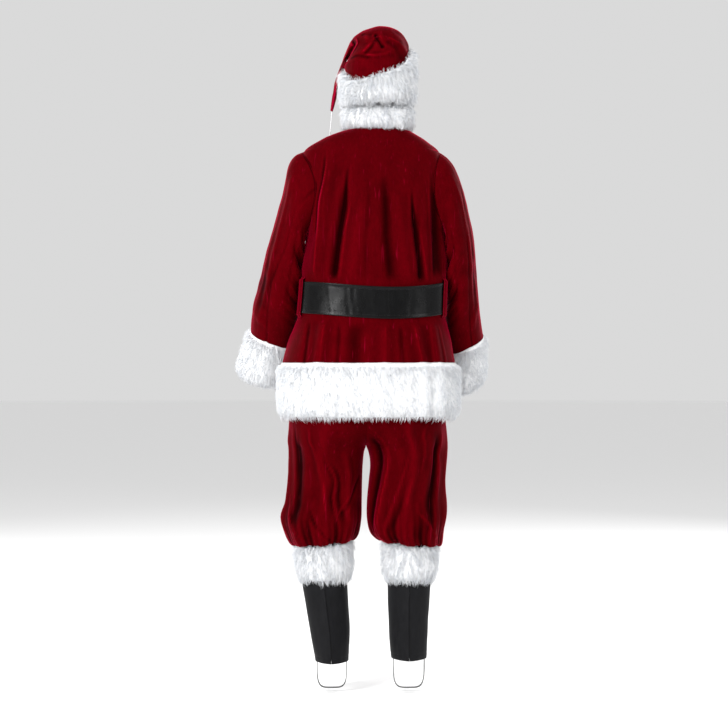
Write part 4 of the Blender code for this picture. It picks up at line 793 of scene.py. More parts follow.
def wall_mesh(name, outer, inner, material, ring=False, axes=(1,), rise=0.0):
    """A closed cloth wall between an outer and an inner grid; its UV runs along both."""
    rows, columns = outer.shape[:2]
    front = np.arange(rows * columns).reshape(rows, columns)
    back = front + rows * columns
    faces = [grid_quads(front, ring), grid_quads(back, ring, True),
             edge_quads(front[0], back[0], ring),
             edge_quads(front[-1], back[-1], ring)[:, ::-1]]
    if not ring:
        faces += [edge_quads(front[:, 0], back[:, 0], False)[:, ::-1],
                  edge_quads(front[:, -1], back[:, -1], False)]
    u, v = np.meshgrid(np.linspace(0, 1, columns), np.linspace(0, 1, rows))
    uv = np.tile(np.stack([u, v], -1).reshape(-1, 2), (2, 1))
    points = np.concatenate([outer.reshape(-1, 3), inner.reshape(-1, 3)])
    obj = face_out(add_mesh(name, points, faces, material, uv))
    return with_painted_shade(obj, outer, inner, ring, axes, rise)


def tube_mesh(name, rings, material, uv=None, closed=False):
    """A tube from a grid of rings, joined end to end or capped at both ends."""
    index = np.arange(rings[..., 0].size).reshape(rings.shape[:2])
    faces = [grid_quads(np.concatenate([index, index[:1]]) if closed else index, True)]
    if not closed:
        faces += [index[0][None, ::-1], index[-1][None]]
    return face_out(add_mesh(name, rings.reshape(-1, 3), faces, material, uv))


def with_painted_shade(obj, outer, inner, ring, axes, rise):
    """Gives each point of a wall its painted shade value, kept in the nap attribute, both faces
    alike.
    """
    values = painted_shade_values(outer, inner, ring, axes, rise).ravel()
    # The nap attribute holds painted shade for valleys and a painted highlight for ridges.
    bend = obj.data.attributes.new("nap", "FLOAT", "POINT")
    bend.data.foreach_set("value", np.resize(values, len(obj.data.vertices)))
    return obj


def painted_shade_values(outer, inner, ring, axes, rise):
    """Painted shade and highlight from how the cloth bends: near 1 on a ridge's crest, painted
    light, near 0 in a valley, painted dark, 0.5 where it is even.

    At each point the wall's height over the middle of two neighbours, one on either side, is
    divided by half their distance squared. That curvature is taken along both directions of the
    grid, or one, and at two reaches. Cloth that lies below its even form counts as a valley too
    and is painted darker.
    """
    outwards = unit(outer - inner)
    bend = PAINTED_SHADE_DEPTH * np.minimum(np.zeros(outer.shape[:2]) + rise, 0)
    for reach, full in PAINTED_SHADE_REACHES:
        for axis in axes:
            count = outer.shape[axis]
            place = np.arange(count)
            room = reach if ring and axis else np.minimum(reach, np.minimum(place,
                                                                            count - 1 - place))
            ahead = outer.take((place + room) % count, axis)
            behind = outer.take((place - room) % count, axis)
            span = size_of(ahead - behind) / 2
            sag = ((outer - (ahead + behind) / 2) * outwards).sum(-1)
            bend += 2 * sag / np.maximum(span, 0.001) ** 2 / full
    return 0.5 + 0.5 * np.tanh(bend)


def face_out(obj):
    """Turns a closed mesh inside out if its volume comes out negative."""
    mesh = obj.data
    mesh.calc_loop_triangles()
    corners = np.empty(len(mesh.loop_triangles) * 3, np.int32)
    mesh.loop_triangles.foreach_get("vertices", corners)
    points = np.empty(len(mesh.vertices) * 3, np.float32)
    mesh.vertices.foreach_get("co", points)
    a, b, c = points.reshape(-1, 3)[corners.reshape(-1, 3)].transpose(1, 0, 2).astype(float)
    if (np.cross(a, b) * c).sum() < 0:
        mesh.flip_normals()
    return obj


def velvet_piece(node, surface, ring=False, axes=(1,)):
    """A velvet wall that stands for a solid, with its painted shade and highlight, the nap values,
    and its sheet.
    """
    outer, inner, rise, even = surface
    piece = wall_mesh(f"velvet_{node.replace('breeches', 'leg')}", outer, inner,
                      finish("velvet"), ring, axes, rise)
    dress(piece, "velvet", node)


def make_strap(name, table):
    """An elastic stirrup: up inside the shaft at both sides, and in a squared arc between."""
    low_level = float(table.last)
    inside = -LEATHERETTE - STRAP_CLEAR
    path = []
    for angle in (0.5 * math.pi, 1.5 * math.pi):
        top = shaft_point(table, np.array(angle), low_level - STRAP_TOP_LEVELS, inside)
        edge = shaft_point(table, np.array(angle), low_level, inside - 2 * SEAM_GAP)
        path.append((top, edge))
    (left_top, left_edge), (right_top, right_edge) = path
    arc = np.linspace(0, math.pi, STRAP_ARC_STEPS + 1)
    middle_x, half = (left_edge[0] + right_edge[0]) / 2, (left_edge[0] - right_edge[0]) / 2
    fall = left_edge[2] - STRAP_DROP - STRAP_LOW - STRAP_THICKNESS
    squared = np.sign(np.cos(arc)) * np.abs(np.cos(arc)) ** STRAP_SIDE_ROUNDNESS
    arc_points = at_places(middle_x + half * squared, left_edge[1],
                           left_edge[2] - STRAP_DROP - fall * np.sin(arc) ** STRAP_LOW_ROUNDNESS)
    line = np.concatenate([left_top[None], left_edge[None], arc_points,
                           right_edge[None], right_top[None]])
    line[:, 1] = left_edge[1]
    outward_side = unit(np.cross(unit(np.gradient(line, axis=0)), np.array([0.0, 1.0, 0.0])))
    outward_side *= np.sign(outward_side[1, 0] * half)
    across = np.linspace(-0.5, 0.5, STRAP_COLUMNS + 1)
    ribs = STRAP_RIB * np.cos(across * TURN * STRAP_COLUMNS / 2)
    outer = (line[:, None] + np.array([0, 1, 0]) * (across * STRAP_WIDTH)[None, :, None]
             + outward_side[:, None] * ribs[None, :, None])
    inner = outer - outward_side[:, None] * STRAP_THICKNESS
    return wall_mesh(name, outer, inner, finish("black_elastic"))


# Jacket

body_table = Table(BODY_COLUMNS, BODY_ROWS)
fold_rows = named(FOLD_COLUMNS, FOLD_ROWS + CREASE_ROWS)


def belt_height(angle):
    """Height of the belt's middle line at an angle round the body."""
    back = np.maximum(np.cos(angle), 0) ** 2
    return BELT_SIDE_HEIGHT - BELT_BACK_DROP * back + BELT_TILT * np.sin(angle) * back


def body_frame(angle, level):
    """The jacket's smooth form: a squared ellipse, whose half width, depths and heights are
    read from the table at the level. The angle is 0 at the middle of the back."""
    sine, cosine = np.sin(angle), np.cos(angle)
    spread = np.abs(sine) ** BODY_SQUARENESS + np.abs(cosine) ** BODY_SQUARENESS
    spread = spread ** (-1 / BODY_SQUARENESS)
    back = cosine > 0
    depth = np.where(back, body_table.at("back_depth", level), body_table.at("front_depth", level))
    face_h = np.where(back, body_table.at("back_h", level), body_table.at("front_h", level))
    side_h = body_table.at("side_h", level)
    x = body_table.at("centre_x", level) + body_table.at("half_width", level) * spread * sine
    y = depth * spread * cosine
    h = side_h + (face_h - side_h) * cosine ** 2
    return at_places(x, y, h)


def body_normal(angle, level):
    """Outward unit normal of the smooth form, from its two small differences."""
    tiny = 1e-3
    around = body_frame(angle + tiny, level) - body_frame(angle - tiny, level)
    up = body_frame(angle, level + tiny) - body_frame(angle, level - tiny)
    return unit(np.cross(up, around))


def fold_rise(points, angle):
    """Sum over the folds of rise * exp(-(distance / half width)^2), faded at both ends."""
    x, h = points[..., 0], points[..., 2]
    rise = np.zeros_like(x)
    sway = uneven("jacket_fold_sway", points)
    for fold in fold_rows:
        along = (h - fold["low_h"]) / (fold["top_h"] - fold["low_h"])
        line = fold["low_x"] + (fold["top_x"] - fold["low_x"]) * along + sway
        fade = within(along, *FOLD_ENDS)
        face = step(np.cos(angle) * fold["face"], 0.02, 0.25)
        rise = rise + fold["rise"] * hump(x - line, fold["half_width"]) * fade * face
    away = np.abs(h - belt_height(angle))
    start, full = FOLDS_CLEAR_OF_BELT
    beside = hump(np.abs(angle) - math.pi / 2, SIDE_FULL_HALF)
    rise = rise + SIDE_FULLNESS * beside * step(SIDE_FULL_TOP - h, 0, 0.03)
    return rise * step(away, BELT_WIDTH / 2 + start, BELT_WIDTH / 2 + full)


def body_point(angle, level, out=0.0):
    """A point of the jacket's outer face, or one moved out from it along the normal."""
    angle, level = np.broadcast_arrays(np.asarray(angle, float), np.asarray(level, float))
    smooth = body_frame(angle, level)
    rise = fold_rise(smooth, angle) + out
    return smooth + body_normal(angle, level) * rise[..., None]


def armhole_loop(side, steps):
    """Points and inward directions round one armhole: an oval in angle and level."""
    turn = circle(2 * steps)
    levels = ARMHOLE_MIDDLE + ARMHOLE_HALF * np.cos(turn)
    angles = side * (math.pi / 2 - ARMHOLE_HALF_ANGLE * np.sin(turn))
    points = body_point(angles, levels)
    along = np.roll(points, -1, axis=0) - np.roll(points, 1, axis=0)
    inward = unit(np.cross(body_normal(angles, levels), along))
    inward *= np.sign((inward * (points.mean(0) - points)).sum(-1, keepdims=True))
    return points + body_normal(angles, levels) * armhole_lift(levels)[:, None], inward


def armhole_lift(levels):
    """How far the armhole's seam stands out, 0 at the armpit and towards the neck."""
    low, high = ARMHOLE_MIDDLE - ARMHOLE_HALF, ARMHOLE_MIDDLE + ARMHOLE_HALF
    return ARMHOLE_LIFT * step(levels, low, low + ARMHOLE_LIFT_START) * (
        1 - step(levels, high, high + ARMHOLE_LIFT_END))


def armhole_bite(levels):
    """The armhole's half angle at each level, 0 where there is none."""
    inside = np.clip(1 - ((levels - ARMHOLE_MIDDLE) / ARMHOLE_HALF) ** 2, 0, 1)
    return ARMHOLE_HALF_ANGLE * np.sqrt(inside)


def lap_out(angle):
    """How far the lapped left front stands out from the jacket's form at an angle."""
    away = np.abs(np.abs(angle) - math.pi)
    full, start = LAP_RAMP_TURNS
    return (CLOTH + LAY_GAP) * (1 - step(away, full * LAP_ANGLE, start * LAP_ANGLE))


def panel_levels():
    """Levels of a panel's rows: even below and above the armhole, a cosine beside it."""
    beside = ARMHOLE_MIDDLE - ARMHOLE_HALF * np.cos(np.linspace(0, math.pi, ARMHOLE_ROWS + 1))
    below = np.linspace(0, beside[0], ROWS_BELOW, endpoint=False)
    above = np.linspace(beside[-1], NECK_LEVEL, ROWS_ABOVE + 1)[1:]
    return np.concatenate([below, beside, above])


def seam_dip(distance):
    """Depth by which cloth turns in beside a seam, SEAM_DIP at the stitches."""
    return -SEAM_DIP * hump(distance, SEAM_HALF_WIDTH)


def panel_surface(start, end, segments, facing, armholes, lift=None):
    """Outer and inner grids of one jacket panel between two edges, as angles at each level."""
    levels = panel_levels()
    share = np.linspace(0, 1, segments + 1)
    first, last = start(levels), end(levels)
    angles = first[0] * (1 - share) + last[0] * share
    crowded = EDGE_CROWDING / abs(last[0] - first[0])
    angles = (angles + (first - first[0])[:, None] * step(1 - share, 1 - crowded, 1.0)
              + (last - last[0])[:, None] * step(share, 1 - crowded, 1.0))
    rows = np.broadcast_to(levels[:, None], angles.shape)
    out = lift(angles) if lift else np.zeros_like(angles)
    smooth = body_frame(angles, rows)
    for column, side in zip((0, segments), armholes):
        if side:
            distance = size_of(smooth - smooth[:, [column]])
            pucker = 1 + 0.5 * np.sin(rows * PUCKERS_A_LEVEL)
            out = out + seam_dip(distance) * pucker
            out = out + armhole_lift(rows) * hump(distance, ARMHOLE_LIFT_REACH)
    out = out + uneven("jacket", smooth)
    outer = body_point(angles, rows, out)
    beside = slice(ROWS_BELOW, ROWS_BELOW + ARMHOLE_ROWS + 1)
    for column, side in zip((0, segments), armholes):
        if side:
            points, inward = armhole_loop(side, ARMHOLE_ROWS)
            order = (facing * np.arange(ARMHOLE_ROWS + 1))[::-1]
            outer[beside, column] = points[order] - inward[order] * SEAM_GAP / 2
    normals = body_normal(angles, rows)
    rise = ((outer - smooth) * normals).sum(-1)
    return outer, outer - normals * CLOTH, rise, smooth


def side_edge(side, facing):
    """Edge angles beside a side seam and armhole, for the back (1) or a front (-1)."""
    def edge(levels):
        inset = SEAM_GAP / 2 / body_table.at("half_width", levels)
        return side * (math.pi / 2 - facing * (armhole_bite(levels) + inset))
    return edge


def front_edge(side):
    return lambda levels: np.full_like(levels, side * (math.pi + LAP_ANGLE))


# Sleeves

def flat_ring(table, station, turn, deep):
    """An ellipse from the outer line to the inner line; deep is its other half axis."""
    outer, inner = (np.array([table.at(f"{line}_x", station), 0, table.at(f"{line}_h", station)])
                    for line in ("outer", "inner"))
    middle = (outer + inner) / 2 + np.array([0, table.at("centre_y", station), 0])
    return middle + np.cos(turn)[:, None] * (outer - inner) / 2 + deep


def sleeve_ring(table, turn, station):
    back = np.array([0, table.at("half_depth", station), -table.at("back_drop", station)])
    return flat_ring(table, station, turn, np.sin(turn)[:, None] * back)


def sleeve_surface(side, rows):
    """Outer and inner grids of a sleeve, eased onto its armhole over the first stations."""
    table = Table(SLEEVE_COLUMNS, rows)
    hole, inward = armhole_loop(side, SLEEVE_COLUMNS_HALF)
    start = hole + inward * SEAM_GAP / 2
    turn = circle(len(hole))
    stations = np.linspace(0, 1, SLEEVE_ROWS + 1) ** SLEEVE_CROWDING * table.last
    correction = start - sleeve_ring(table, turn, 0)
    grid = np.stack([sleeve_ring(table, turn, station)
                     + correction * (1 - step(station, 0, ARMHOLE_BLEND_STATIONS))
                     for station in stations])
    even = grid
    normals = outward(grid_normals(grid, True), grid)
    rise = np.zeros(grid.shape[:2])
    for fold in named(ROUND_FOLD_COLUMNS, SLEEVE_FOLD_ROWS + SLEEVE_CREASE_ROWS):
        away = (turn[None] / TURN - fold["turn"] + 0.5) % 1 - 0.5
        along = stations[:, None] - fold["station"] - FOLD_SLANT * away
        along = along + uneven("sleeve_fold_sway", grid)
        rise += fold["rise"] * hump(along, fold["half_length"]) * hump(away, fold["half_turn"])
    fade = within(stations, *SLEEVE_FOLD_ENDS)
    rise = rise * fade[:, None] + uneven("sleeve", grid) * fade[:, None]
    share = turn[None] / TURN
    seam = np.interp(stations, *SLEEVE_SEAMS[side])[:, None]
    around = size_of(grid - np.roll(grid, 1, axis=1)).sum(1)[:, None]
    rise -= SLEEVE_SEAM_DEPTH * hump((share - seam) * around, SLEEVE_SEAM_HALF)
    middle, half = SLEEVE_FULL_TURNS
    rise += SLEEVE_FULLNESS * hump(share - middle, half) * step(stations, 1.0, 2.2)[:, None]
    distance = size_of(grid - grid[:1])
    rise = rise + seam_dip(distance) * (1 + 0.5 * np.sin(turn * ARMHOLE_PUCKERS))[None]
    grid = grid + normals * rise[..., None]
    grid[0] = start
    normals = outward(grid_normals(grid, True), grid)
    # The relief, scaled up, sets the painted shade and highlight of the sleeve's folds.
    return grid, grid - normals * CLOTH, rise * SLEEVE_PAINTED_SHADE_GAIN, even


# Breeches

def leg_normals(grid):
    """Outward normals of a leg; both edges of the inseam share one below the crotch."""
    normals = grid_normals(grid, False)
    top = grid[:5] - grid[:5].mean(1, keepdims=True)
    normals = normals * np.sign((normals[:5] * top).sum(-1).mean())
    shared = unit(normals[:, 0] + normals[:, -1])
    closed = size_of(grid[:, 0] - grid[:, -1]) < 0.002
    normals[closed, 0] = shared[closed]
    normals[closed, -1] = shared[closed]
    return normals


def leg_surface(side, rows):
    """Outer and inner grids of a leg: ellipses cut off at the seat's plane above the crotch."""
    table = Table(LEG_COLUMNS, rows)
    levels = np.linspace(0, table.last, LEG_ROWS + 1)
    inner_x, outer_x = table.at("inner_x", levels), table.at("outer_x", levels)
    centre_x = (inner_x + outer_x) / 2
    half_width = np.abs(outer_x - inner_x) / 2
    plane_x = SEAT_CENTRE_X + side * SEAT_SEAM_HALF
    reach = np.clip(side * (centre_x - plane_x) / half_width, -1, 1)
    depth = table.at("half_depth", levels)
    opening = np.maximum(np.arccos(reach), SEAM_GAP / 2 / depth)
    share = np.linspace(0, 1, LEG_SIDES + 1)
    turn = opening[:, None] + (TURN - 2 * opening[:, None]) * share
    x = centre_x[:, None] - side * half_width[:, None] * np.cos(turn)
    y = table.at("centre_y", levels)[:, None] + depth[:, None] * np.sin(turn)
    h = np.broadcast_to(table.at("height", levels)[:, None], x.shape)
    h = h + step(levels, *LEG_END_LEVELS)[:, None] * LEG_END_TILT * np.cos(turn)
    even = grid = at_places(x, y, h)
    normals = leg_normals(grid)
    full_turn = turn / TURN
    gather = table.at("gather", levels)[:, None]
    wander = uneven("leg_fold_sway", grid)
    rise = gather * GATHER_DEPTH * np.cos(GATHERS * turn)
    rise = rise + gather * FINE_GATHER_DEPTH * np.cos(FINE_GATHERS * (turn + 3 * wander) + side)
    creases = [(*row[:-1], round(row[-1] * LEG_CREASE_SHARE, 4)) for row in LEG_CREASES[side]]
    for fold in named(LEG_FOLD_COLUMNS, (*LEG_FOLD_ROWS, *creases)):
        along = (levels - fold["top_level"]) / (fold["low_level"] - fold["top_level"])
        line = fold["top_turn"] + (fold["low_turn"] - fold["top_turn"]) * along
        away = (full_turn - line[:, None] + wander) * TURN * LEG_RADIUS
        fade = within(along, *LEG_FOLD_ENDS)
        rise = rise + fold["rise"] * hump(away, fold["half_width"]) * fade[:, None]
    rise = rise + uneven("leg_left" if side > 0 else "leg_right", grid)
    edge = step(np.minimum(share, 1 - share), 0.0, LEG_EDGE_SHARE)
    grid = grid + normals * (rise * edge)[..., None]
    inner = grid - leg_normals(grid) * CLOTH
    inner[..., 0] = side * np.maximum(side * inner[..., 0], side * plane_x)
    # The relief, scaled up, sets the painted shade and highlight of the leg's folds.
    return grid, inner, rise * edge * LEG_PAINTED_SHADE_GAIN, even


# Hat

def crown_ring(table, station, turn):
    """A ring of the crown, lower at the back near the band."""
    deep = np.sin(turn)[:, None] * table.at("half_depth", station) * np.array([0, 1, 0])
    drop = np.interp(station, range(len(CROWN_BACK_DROPS)), CROWN_BACK_DROPS)
    deep[:, 2] -= drop * step(np.sin(turn), -0.1, 1)
    return flat_ring(table, station, turn, deep)


def crown_places(table):
    """Points of the crown's back, and the dots of the camera's view at which they show."""
    stations, turns = CROWN_VIEW_STEPS
    turn = np.linspace(0, math.pi, turns)
    grid = np.stack([crown_ring(table, station, turn)
                     for station in np.linspace(0, table.last, stations)])
    camera_x, camera_y, camera_h = CAMERA_PLACE[0], CAMERA_PLACE[1], CAMERA_PLACE[2] + NECK_HEIGHT
    nearness = camera_y / (camera_y - grid[..., 1]) / VIEW_DOT
    across = VIEW_MIDDLE - camera_x / VIEW_DOT - (grid[..., 0] - camera_x) * nearness
    down = VIEW_FLOOR - camera_h / VIEW_DOT - (grid[..., 2] - camera_h) * nearness
    return grid, across, down


def fold_line(places, dots):
    """The crown's points (x, height) that show nearest to dots of the enlarged view."""
    grid, across, down = places
    line = []
    for right, below in dots:
        away = np.hypot(across - CROWN_VIEW_CORNER[0] - right / CROWN_VIEW_ZOOM,
                        down - CROWN_VIEW_CORNER[1] - below / CROWN_VIEW_ZOOM)
        x, _, h = grid[np.unravel_index(away.argmin(), away.shape)]
        line.append((round(float(x), 4), round(float(h), 4)))
    return line


def line_distance(x, h, points):
    """Distances from a line of points (x, height)."""
    nearest = np.full(x.shape, np.inf)
    for (x0, h0), (x1, h1) in zip(points, points[1:]):
        run, fall = x1 - x0, h1 - h0
        share = np.clip(((x - x0) * run + (h - h0) * fall) / (run ** 2 + fall ** 2), 0, 1)
        nearest = np.minimum(nearest, np.hypot(x - x0 - run * share, h - h0 - fall * share))
    return nearest


def crown_surface():
    """Outer and inner grids of the crown, with its creases; the tip is closed by the caller."""
    table = Table(CROWN_COLUMNS, CROWN_ROWS)
    turn = circle(CROWN_SIDES)
    stations = np.linspace(0, table.last, CROWN_STEPS + 1)
    even = grid = np.stack([crown_ring(table, station, turn) for station in stations])
    radial = unit(grid - grid.mean(1, keepdims=True))
    rise = np.zeros(grid.shape[:2])
    for fold in named(ROUND_FOLD_COLUMNS, CROWN_CREASE_ROWS):
        away = (turn[None] / TURN - fold["turn"] + 0.5) % 1 - 0.5
        along = stations[:, None] - fold["station"] + 3 * away + uneven("crown_fold_sway", grid)
        rise += fold["rise"] * hump(along, fold["half_length"]) * hump(away, fold["half_turn"])
    behind = step(np.sin(turn), 0.0, 0.25)[None]
    places = crown_places(table)
    for half_width, height, dots in CROWN_LINES:
        away = line_distance(grid[..., 0], grid[..., 2], fold_line(places, dots))
        rise += height * hump(away, half_width) * behind
    size = size_of(grid - grid.mean(1, keepdims=True))
    limit = CROWN_RISE_LIMIT * size
    rise = np.clip(rise + uneven("crown", grid), -limit, limit)
    rise = rise * step(stations, 0, 1)[:, None]
    grid = grid + radial * rise[..., None]
    return grid, grid - radial * np.minimum(CLOTH, 0.5 * size)[..., None], rise, even


# Boot tops

def shaft_point(table, turn, level, out=0.0):
    """An ellipse at a level, with a ridge along the back seam where the turn is 0."""
    half_width, half_depth = table.at("half_width", level), table.at("half_depth", level)
    sine, cosine = np.sin(turn), np.cos(turn)
    normal = unit(at_places(sine / half_width, cosine / half_depth, 0.0))
    away = np.abs((turn + math.pi) % TURN - math.pi) * half_width
    rise = table.at("ridge", level) * hump(away, RIDGE_HALF_WIDTH) + out
    front_drop = step(level, *FRONT_DROP_LEVELS) * FRONT_DROP * np.maximum(-cosine, 0) ** 2
    middle = at_places(table.at("centre_x", level) + half_width * sine,
                       table.at("centre_y", level) + half_depth * cosine,
                       table.at("height", level) - front_drop)
    return middle + normal * rise[..., None]


# Fur

class Band:
    """A fur band: a path that gives base, out and along at a share of its length, and a section.

    point(u, v) = base(u) + out(u) * section_out(v) * fullness + along(u) * section_along(v)
    """

    def __init__(self, path, section, closed=True, clear=0.0):
        self.path, self.closed, self.clear = path, closed, clear
        rows = section[-1:] + section + section[:2]
        self.table = Table(BAND_COLUMNS, rows)
        self.corners = len(section)

    def section(self, v):
        """The section's place and its direction of travel at corner number v."""
        place, tiny = np.asarray(v, float) + 1, 0.01
        here = np.stack([self.table.at("out", place), self.table.at("along", place)], -1)
        ahead = np.stack([self.table.at(name, place + tiny) for name in BAND_COLUMNS], -1)
        return here, unit(ahead - here)

    def point(self, u, v, fullness=1.0):
        base, out, along = self.path(u)
        place, _ = self.section(v)
        reach = np.where(place[..., :1] > 0, place[..., :1] * fullness, place[..., :1])
        return base + out * (reach + self.clear) + along * place[..., 1:]

    def directions(self, u, v):
        """Normals of the band's face and the direction in which the section travels."""
        _, out, along = self.path(u)
        _, travel = self.section(v)
        return (unit(out * travel[..., 1:] - along * travel[..., :1]),
                unit(out * travel[..., :1] + along * travel[..., 1:]))

    def backing(self, name, steps):
        """The closed solid that the pile stands on, lower than the pile's tips."""
        u = np.linspace(0, 1, steps, endpoint=not self.closed)
        v = np.linspace(0, self.corners, BACKING_SIDES, endpoint=False)
        grid = np.stack([self.point(u, np.full_like(u, spot), FUR_FULLNESS) for spot in v], 1)
        return tube_mesh(name, grid, finish("fur_backing"), closed=self.closed)


def tuft_means(values, tuft):
    """Each row's mean over its tuft."""
    count = np.bincount(tuft)
    return np.stack([np.bincount(tuft, values[:, i]) / count for i in range(3)], 1)[tuft]


def strand_mesh(name, spots, normals, lay, look, seed):
    """Bent tapering strands, each with three sides: root p, knee p + L/2 a, tip p + L/2 (a + b).

    The tips of a tuft are drawn together by look.gather, and its strands share a heading.
    """
    rng = np.random.default_rng(seed)
    count = len(spots)
    lock = np.array([1.0, 1.0, LOCK_LENGTHS]) * look["tuft"]
    cells = np.floor(spots / lock + noise(spots, look["tuft"] * 2, seed)[:, None] * 0.5)
    _, tuft = np.unique(cells.astype(int), axis=0, return_inverse=True)
    tufts = tuft.max() + 1
    heading = rng.normal(0, look["tuft_turn"], tufts)[tuft] + rng.normal(0, look["turn"], count)
    length = look["length"] * rng.uniform(0.65, 1.2, count) * rng.uniform(0.8, 1.15, tufts)[tuft]
    lift = look["lift"] + rng.normal(0, 0.14, count) + rng.normal(0, 0.10, tufts)[tuft]
    side = unit(np.cross(normals, lay))
    forward = lay * np.cos(heading)[:, None] + side * np.sin(heading)[:, None]
    low = unit(normals * np.sin(lift)[:, None] + forward * np.cos(lift)[:, None])
    bent = lift - look["bend"] * rng.uniform(0.6, 1.4, count)
    high = unit(normals * np.sin(bent)[:, None] + forward * np.cos(bent)[:, None])
    high = unit(high + np.array([0, 0, -look["droop"]]))
    half = (length / 2)[:, None]
    knee = spots + low * half
    tip = knee + high * half
    for end, share in ((knee, 0.3), (tip, 1.0)):
        drawn = tuft_means(end, tuft) - end
        end += (drawn - lay * (drawn * lay).sum(-1, keepdims=True)) * look["gather"] * share
    across = unit(np.cross(low, normals))
    up = np.cross(across, low)
    width = look["width"] * rng.uniform(0.7, 1.3, count)[:, None, None]
    turn = np.array([0.5, 7 / 6, 11 / 6]) * math.pi
    ring = (across[:, None] * np.cos(turn)[None, :, None]
            + up[:, None] * np.sin(turn)[None, :, None]) * width / 2
    points = np.concatenate([spots[:, None] + ring, knee[:, None] + ring * 0.7, tip[:, None]], 1)
    first = np.arange(count)[:, None, None] * STRAND_POINTS
    quads = np.array([[0, 1, 4, 3], [1, 2, 5, 4], [2, 0, 3, 5]])
    tips = np.array([[3, 4, 6], [4, 5, 6], [5, 3, 6]])
    faces = [(first + quads).reshape(-1, 4), (first + tips).reshape(-1, 3)]
    uv = np.zeros((count, STRAND_POINTS, 2))
    tone = 0.7 * rng.uniform(0, 1, tufts)[tuft] + 0.3 * rng.uniform(0, 1, count)
    uv[..., 0] = tone[:, None]
    uv[:, 3:6, 1], uv[:, 6, 1] = 0.5, 1.0
    return add_mesh(name, points.reshape(-1, 3), faces, finish("fur"), uv.reshape(-1, 2))


def fur_band(name, node, band, look, way=1):
    """A band's backing and its pile, as two pieces that stand for one solid."""
    steps, strands, seed = FUR_COUNTS[name]
    scene = bpy.context.scene
    backing = band.backing(f"{name}_backing", steps)
    rng = np.random.default_rng(seed + PILE_SEED_STEP)
    count = int(strands * scene.suit_sizes.pile_density)
    u, v = rng.uniform(0, 1, count), rng.uniform(FUR_ENDS[0], band.corners - FUR_ENDS[1], count)
    spots = band.point(u, v, FUR_FULLNESS)
    normals, travel = band.directions(u, v)
    look = dict(look, width=scene.suit_sizes.strand_width)
    pile = strand_mesh(f"{name}_pile", spots - normals * ROOT_DEPTH, normals, travel * way, look,
                       seed)
    for piece in (backing, pile):
        dress(piece, "white_fur", node)


def body_path(level, lift, way):
    """Path round the jacket at a level, open by FUR_END_GAP at the middle of the front."""
    gap = FUR_END_GAP / 2 / float(body_table.at("half_width", level))

    def path(u):
        angle = (-math.pi + gap) + (TURN - 2 * gap) * np.asarray(u)
        base = body_point(angle, level)
        base[..., 2] += lift + (lap_out(angle) if way > 0 else 0)
        out = unit(body_normal(angle, level) * np.array([1, 1, 0]))
        return base, out, np.broadcast_to(np.array([0.0, 0.0, way]), base.shape)
    return path


def cuff_path(side, rows):
    """Path round a sleeve's last ring; the band runs along the forearm's axis."""
    table = Table(SLEEVE_COLUMNS, rows)
    axis = unit(np.array(CUFF_AXES[side]))

    def path(u):
        turn = TURN * np.asarray(u)
        ring = sleeve_ring(table, turn, table.last)
        around = sleeve_ring(table, turn + 0.01, table.last) - ring
        back = ring - sleeve_ring(table, turn, table.last - 0.5)
        normal = np.cross(around, back)
        out = unit(normal - (normal @ axis)[:, None] * axis)
        out = out * np.sign((out * (ring - ring.mean(0))).sum(-1, keepdims=True))
        return ring + axis * CUFF_START, out, np.broadcast_to(axis, ring.shape)
    return path


def hat_band_path(u):
    """An ellipse whose lower edge is nearly level and whose height grows to one side."""
    turn = TURN * np.asarray(u)
    x, y = HAT_BAND_HALF_WIDTH * np.sin(turn), HAT_BAND_HALF_DEPTH * np.cos(turn)
    out = unit(at_places(np.sin(turn) / HAT_BAND_HALF_WIDTH,
                         np.cos(turn) / HAT_BAND_HALF_DEPTH, 0))
    low = HAT_BAND_LOW + HAT_BAND_LOW_TILT * x
    high = HAT_BAND_TOP + HAT_BAND_TOP_TILT * x
    high -= HAT_BAND_BACK_DROP * step(np.cos(turn), -0.1, 1)
    return at_places(x, y, low), out, at_places(0, 0, high - low)


def boot_fur_path(side, table):
    """Path round a shaft, which follows the shaft's lean and the tilt of the leg's end."""
    def path(u):
        turn = TURN * np.asarray(u)
        base = shaft_point(table, turn, np.full_like(turn, BOOT_FUR_LEVEL))
        upper = shaft_point(table, turn, np.zeros_like(turn))
        centre = np.array([float(table.at("centre_x", BOOT_FUR_LEVEL)), 0, 0])
        out = unit((base - centre) * np.array([1, 1, 0]))
        up = (upper - base) / (upper - base)[:, 2:]
        return base, out, up * (1 - side * BOOT_FUR_TILT * np.sin(turn))[:, None]
    return path


# Belt

def level_at(height, angle):
    """The level at which the body's form stands at a height, by halving the room for it."""
    low, high = np.zeros_like(height), np.full_like(height, WAIST_TOP_LEVEL)
    for _ in range(LEVEL_HALVINGS):
        middle = (low + high) / 2
        above = body_frame(angle, middle)[..., 2] > height
        low, high = np.where(above, low, middle), np.where(above, middle, high)
    return (low + high) / 2


def around_body(angle, height, out):
    """A point moved out from the jacket's face, by its angle and its height."""
    angle, height, out = np.broadcast_arrays(angle, height, out)
    angle, height = angle.astype(float), height.astype(float)
    return body_point(angle, level_at(height, angle), out + lap_out(angle))


def belt_outs(angles):
    """How far the belt's inner face stands off the jacket: over the bar, then over its end."""
    over_bar = BELT_LAY + LEATHERETTE + BUCKLE_BAR_DEPTH + 3 * LAY_GAP + 2 * WAIST_LEAN
    over_belt = BELT_LAY + LEATHERETTE + 1.5 * LAY_GAP
    outs = BELT_LAY + (over_bar - BELT_LAY) * step(angles, *OVER_BAR_ANGLES)
    return outs - (over_bar - over_belt) * step(angles, *OVER_END_ANGLES)


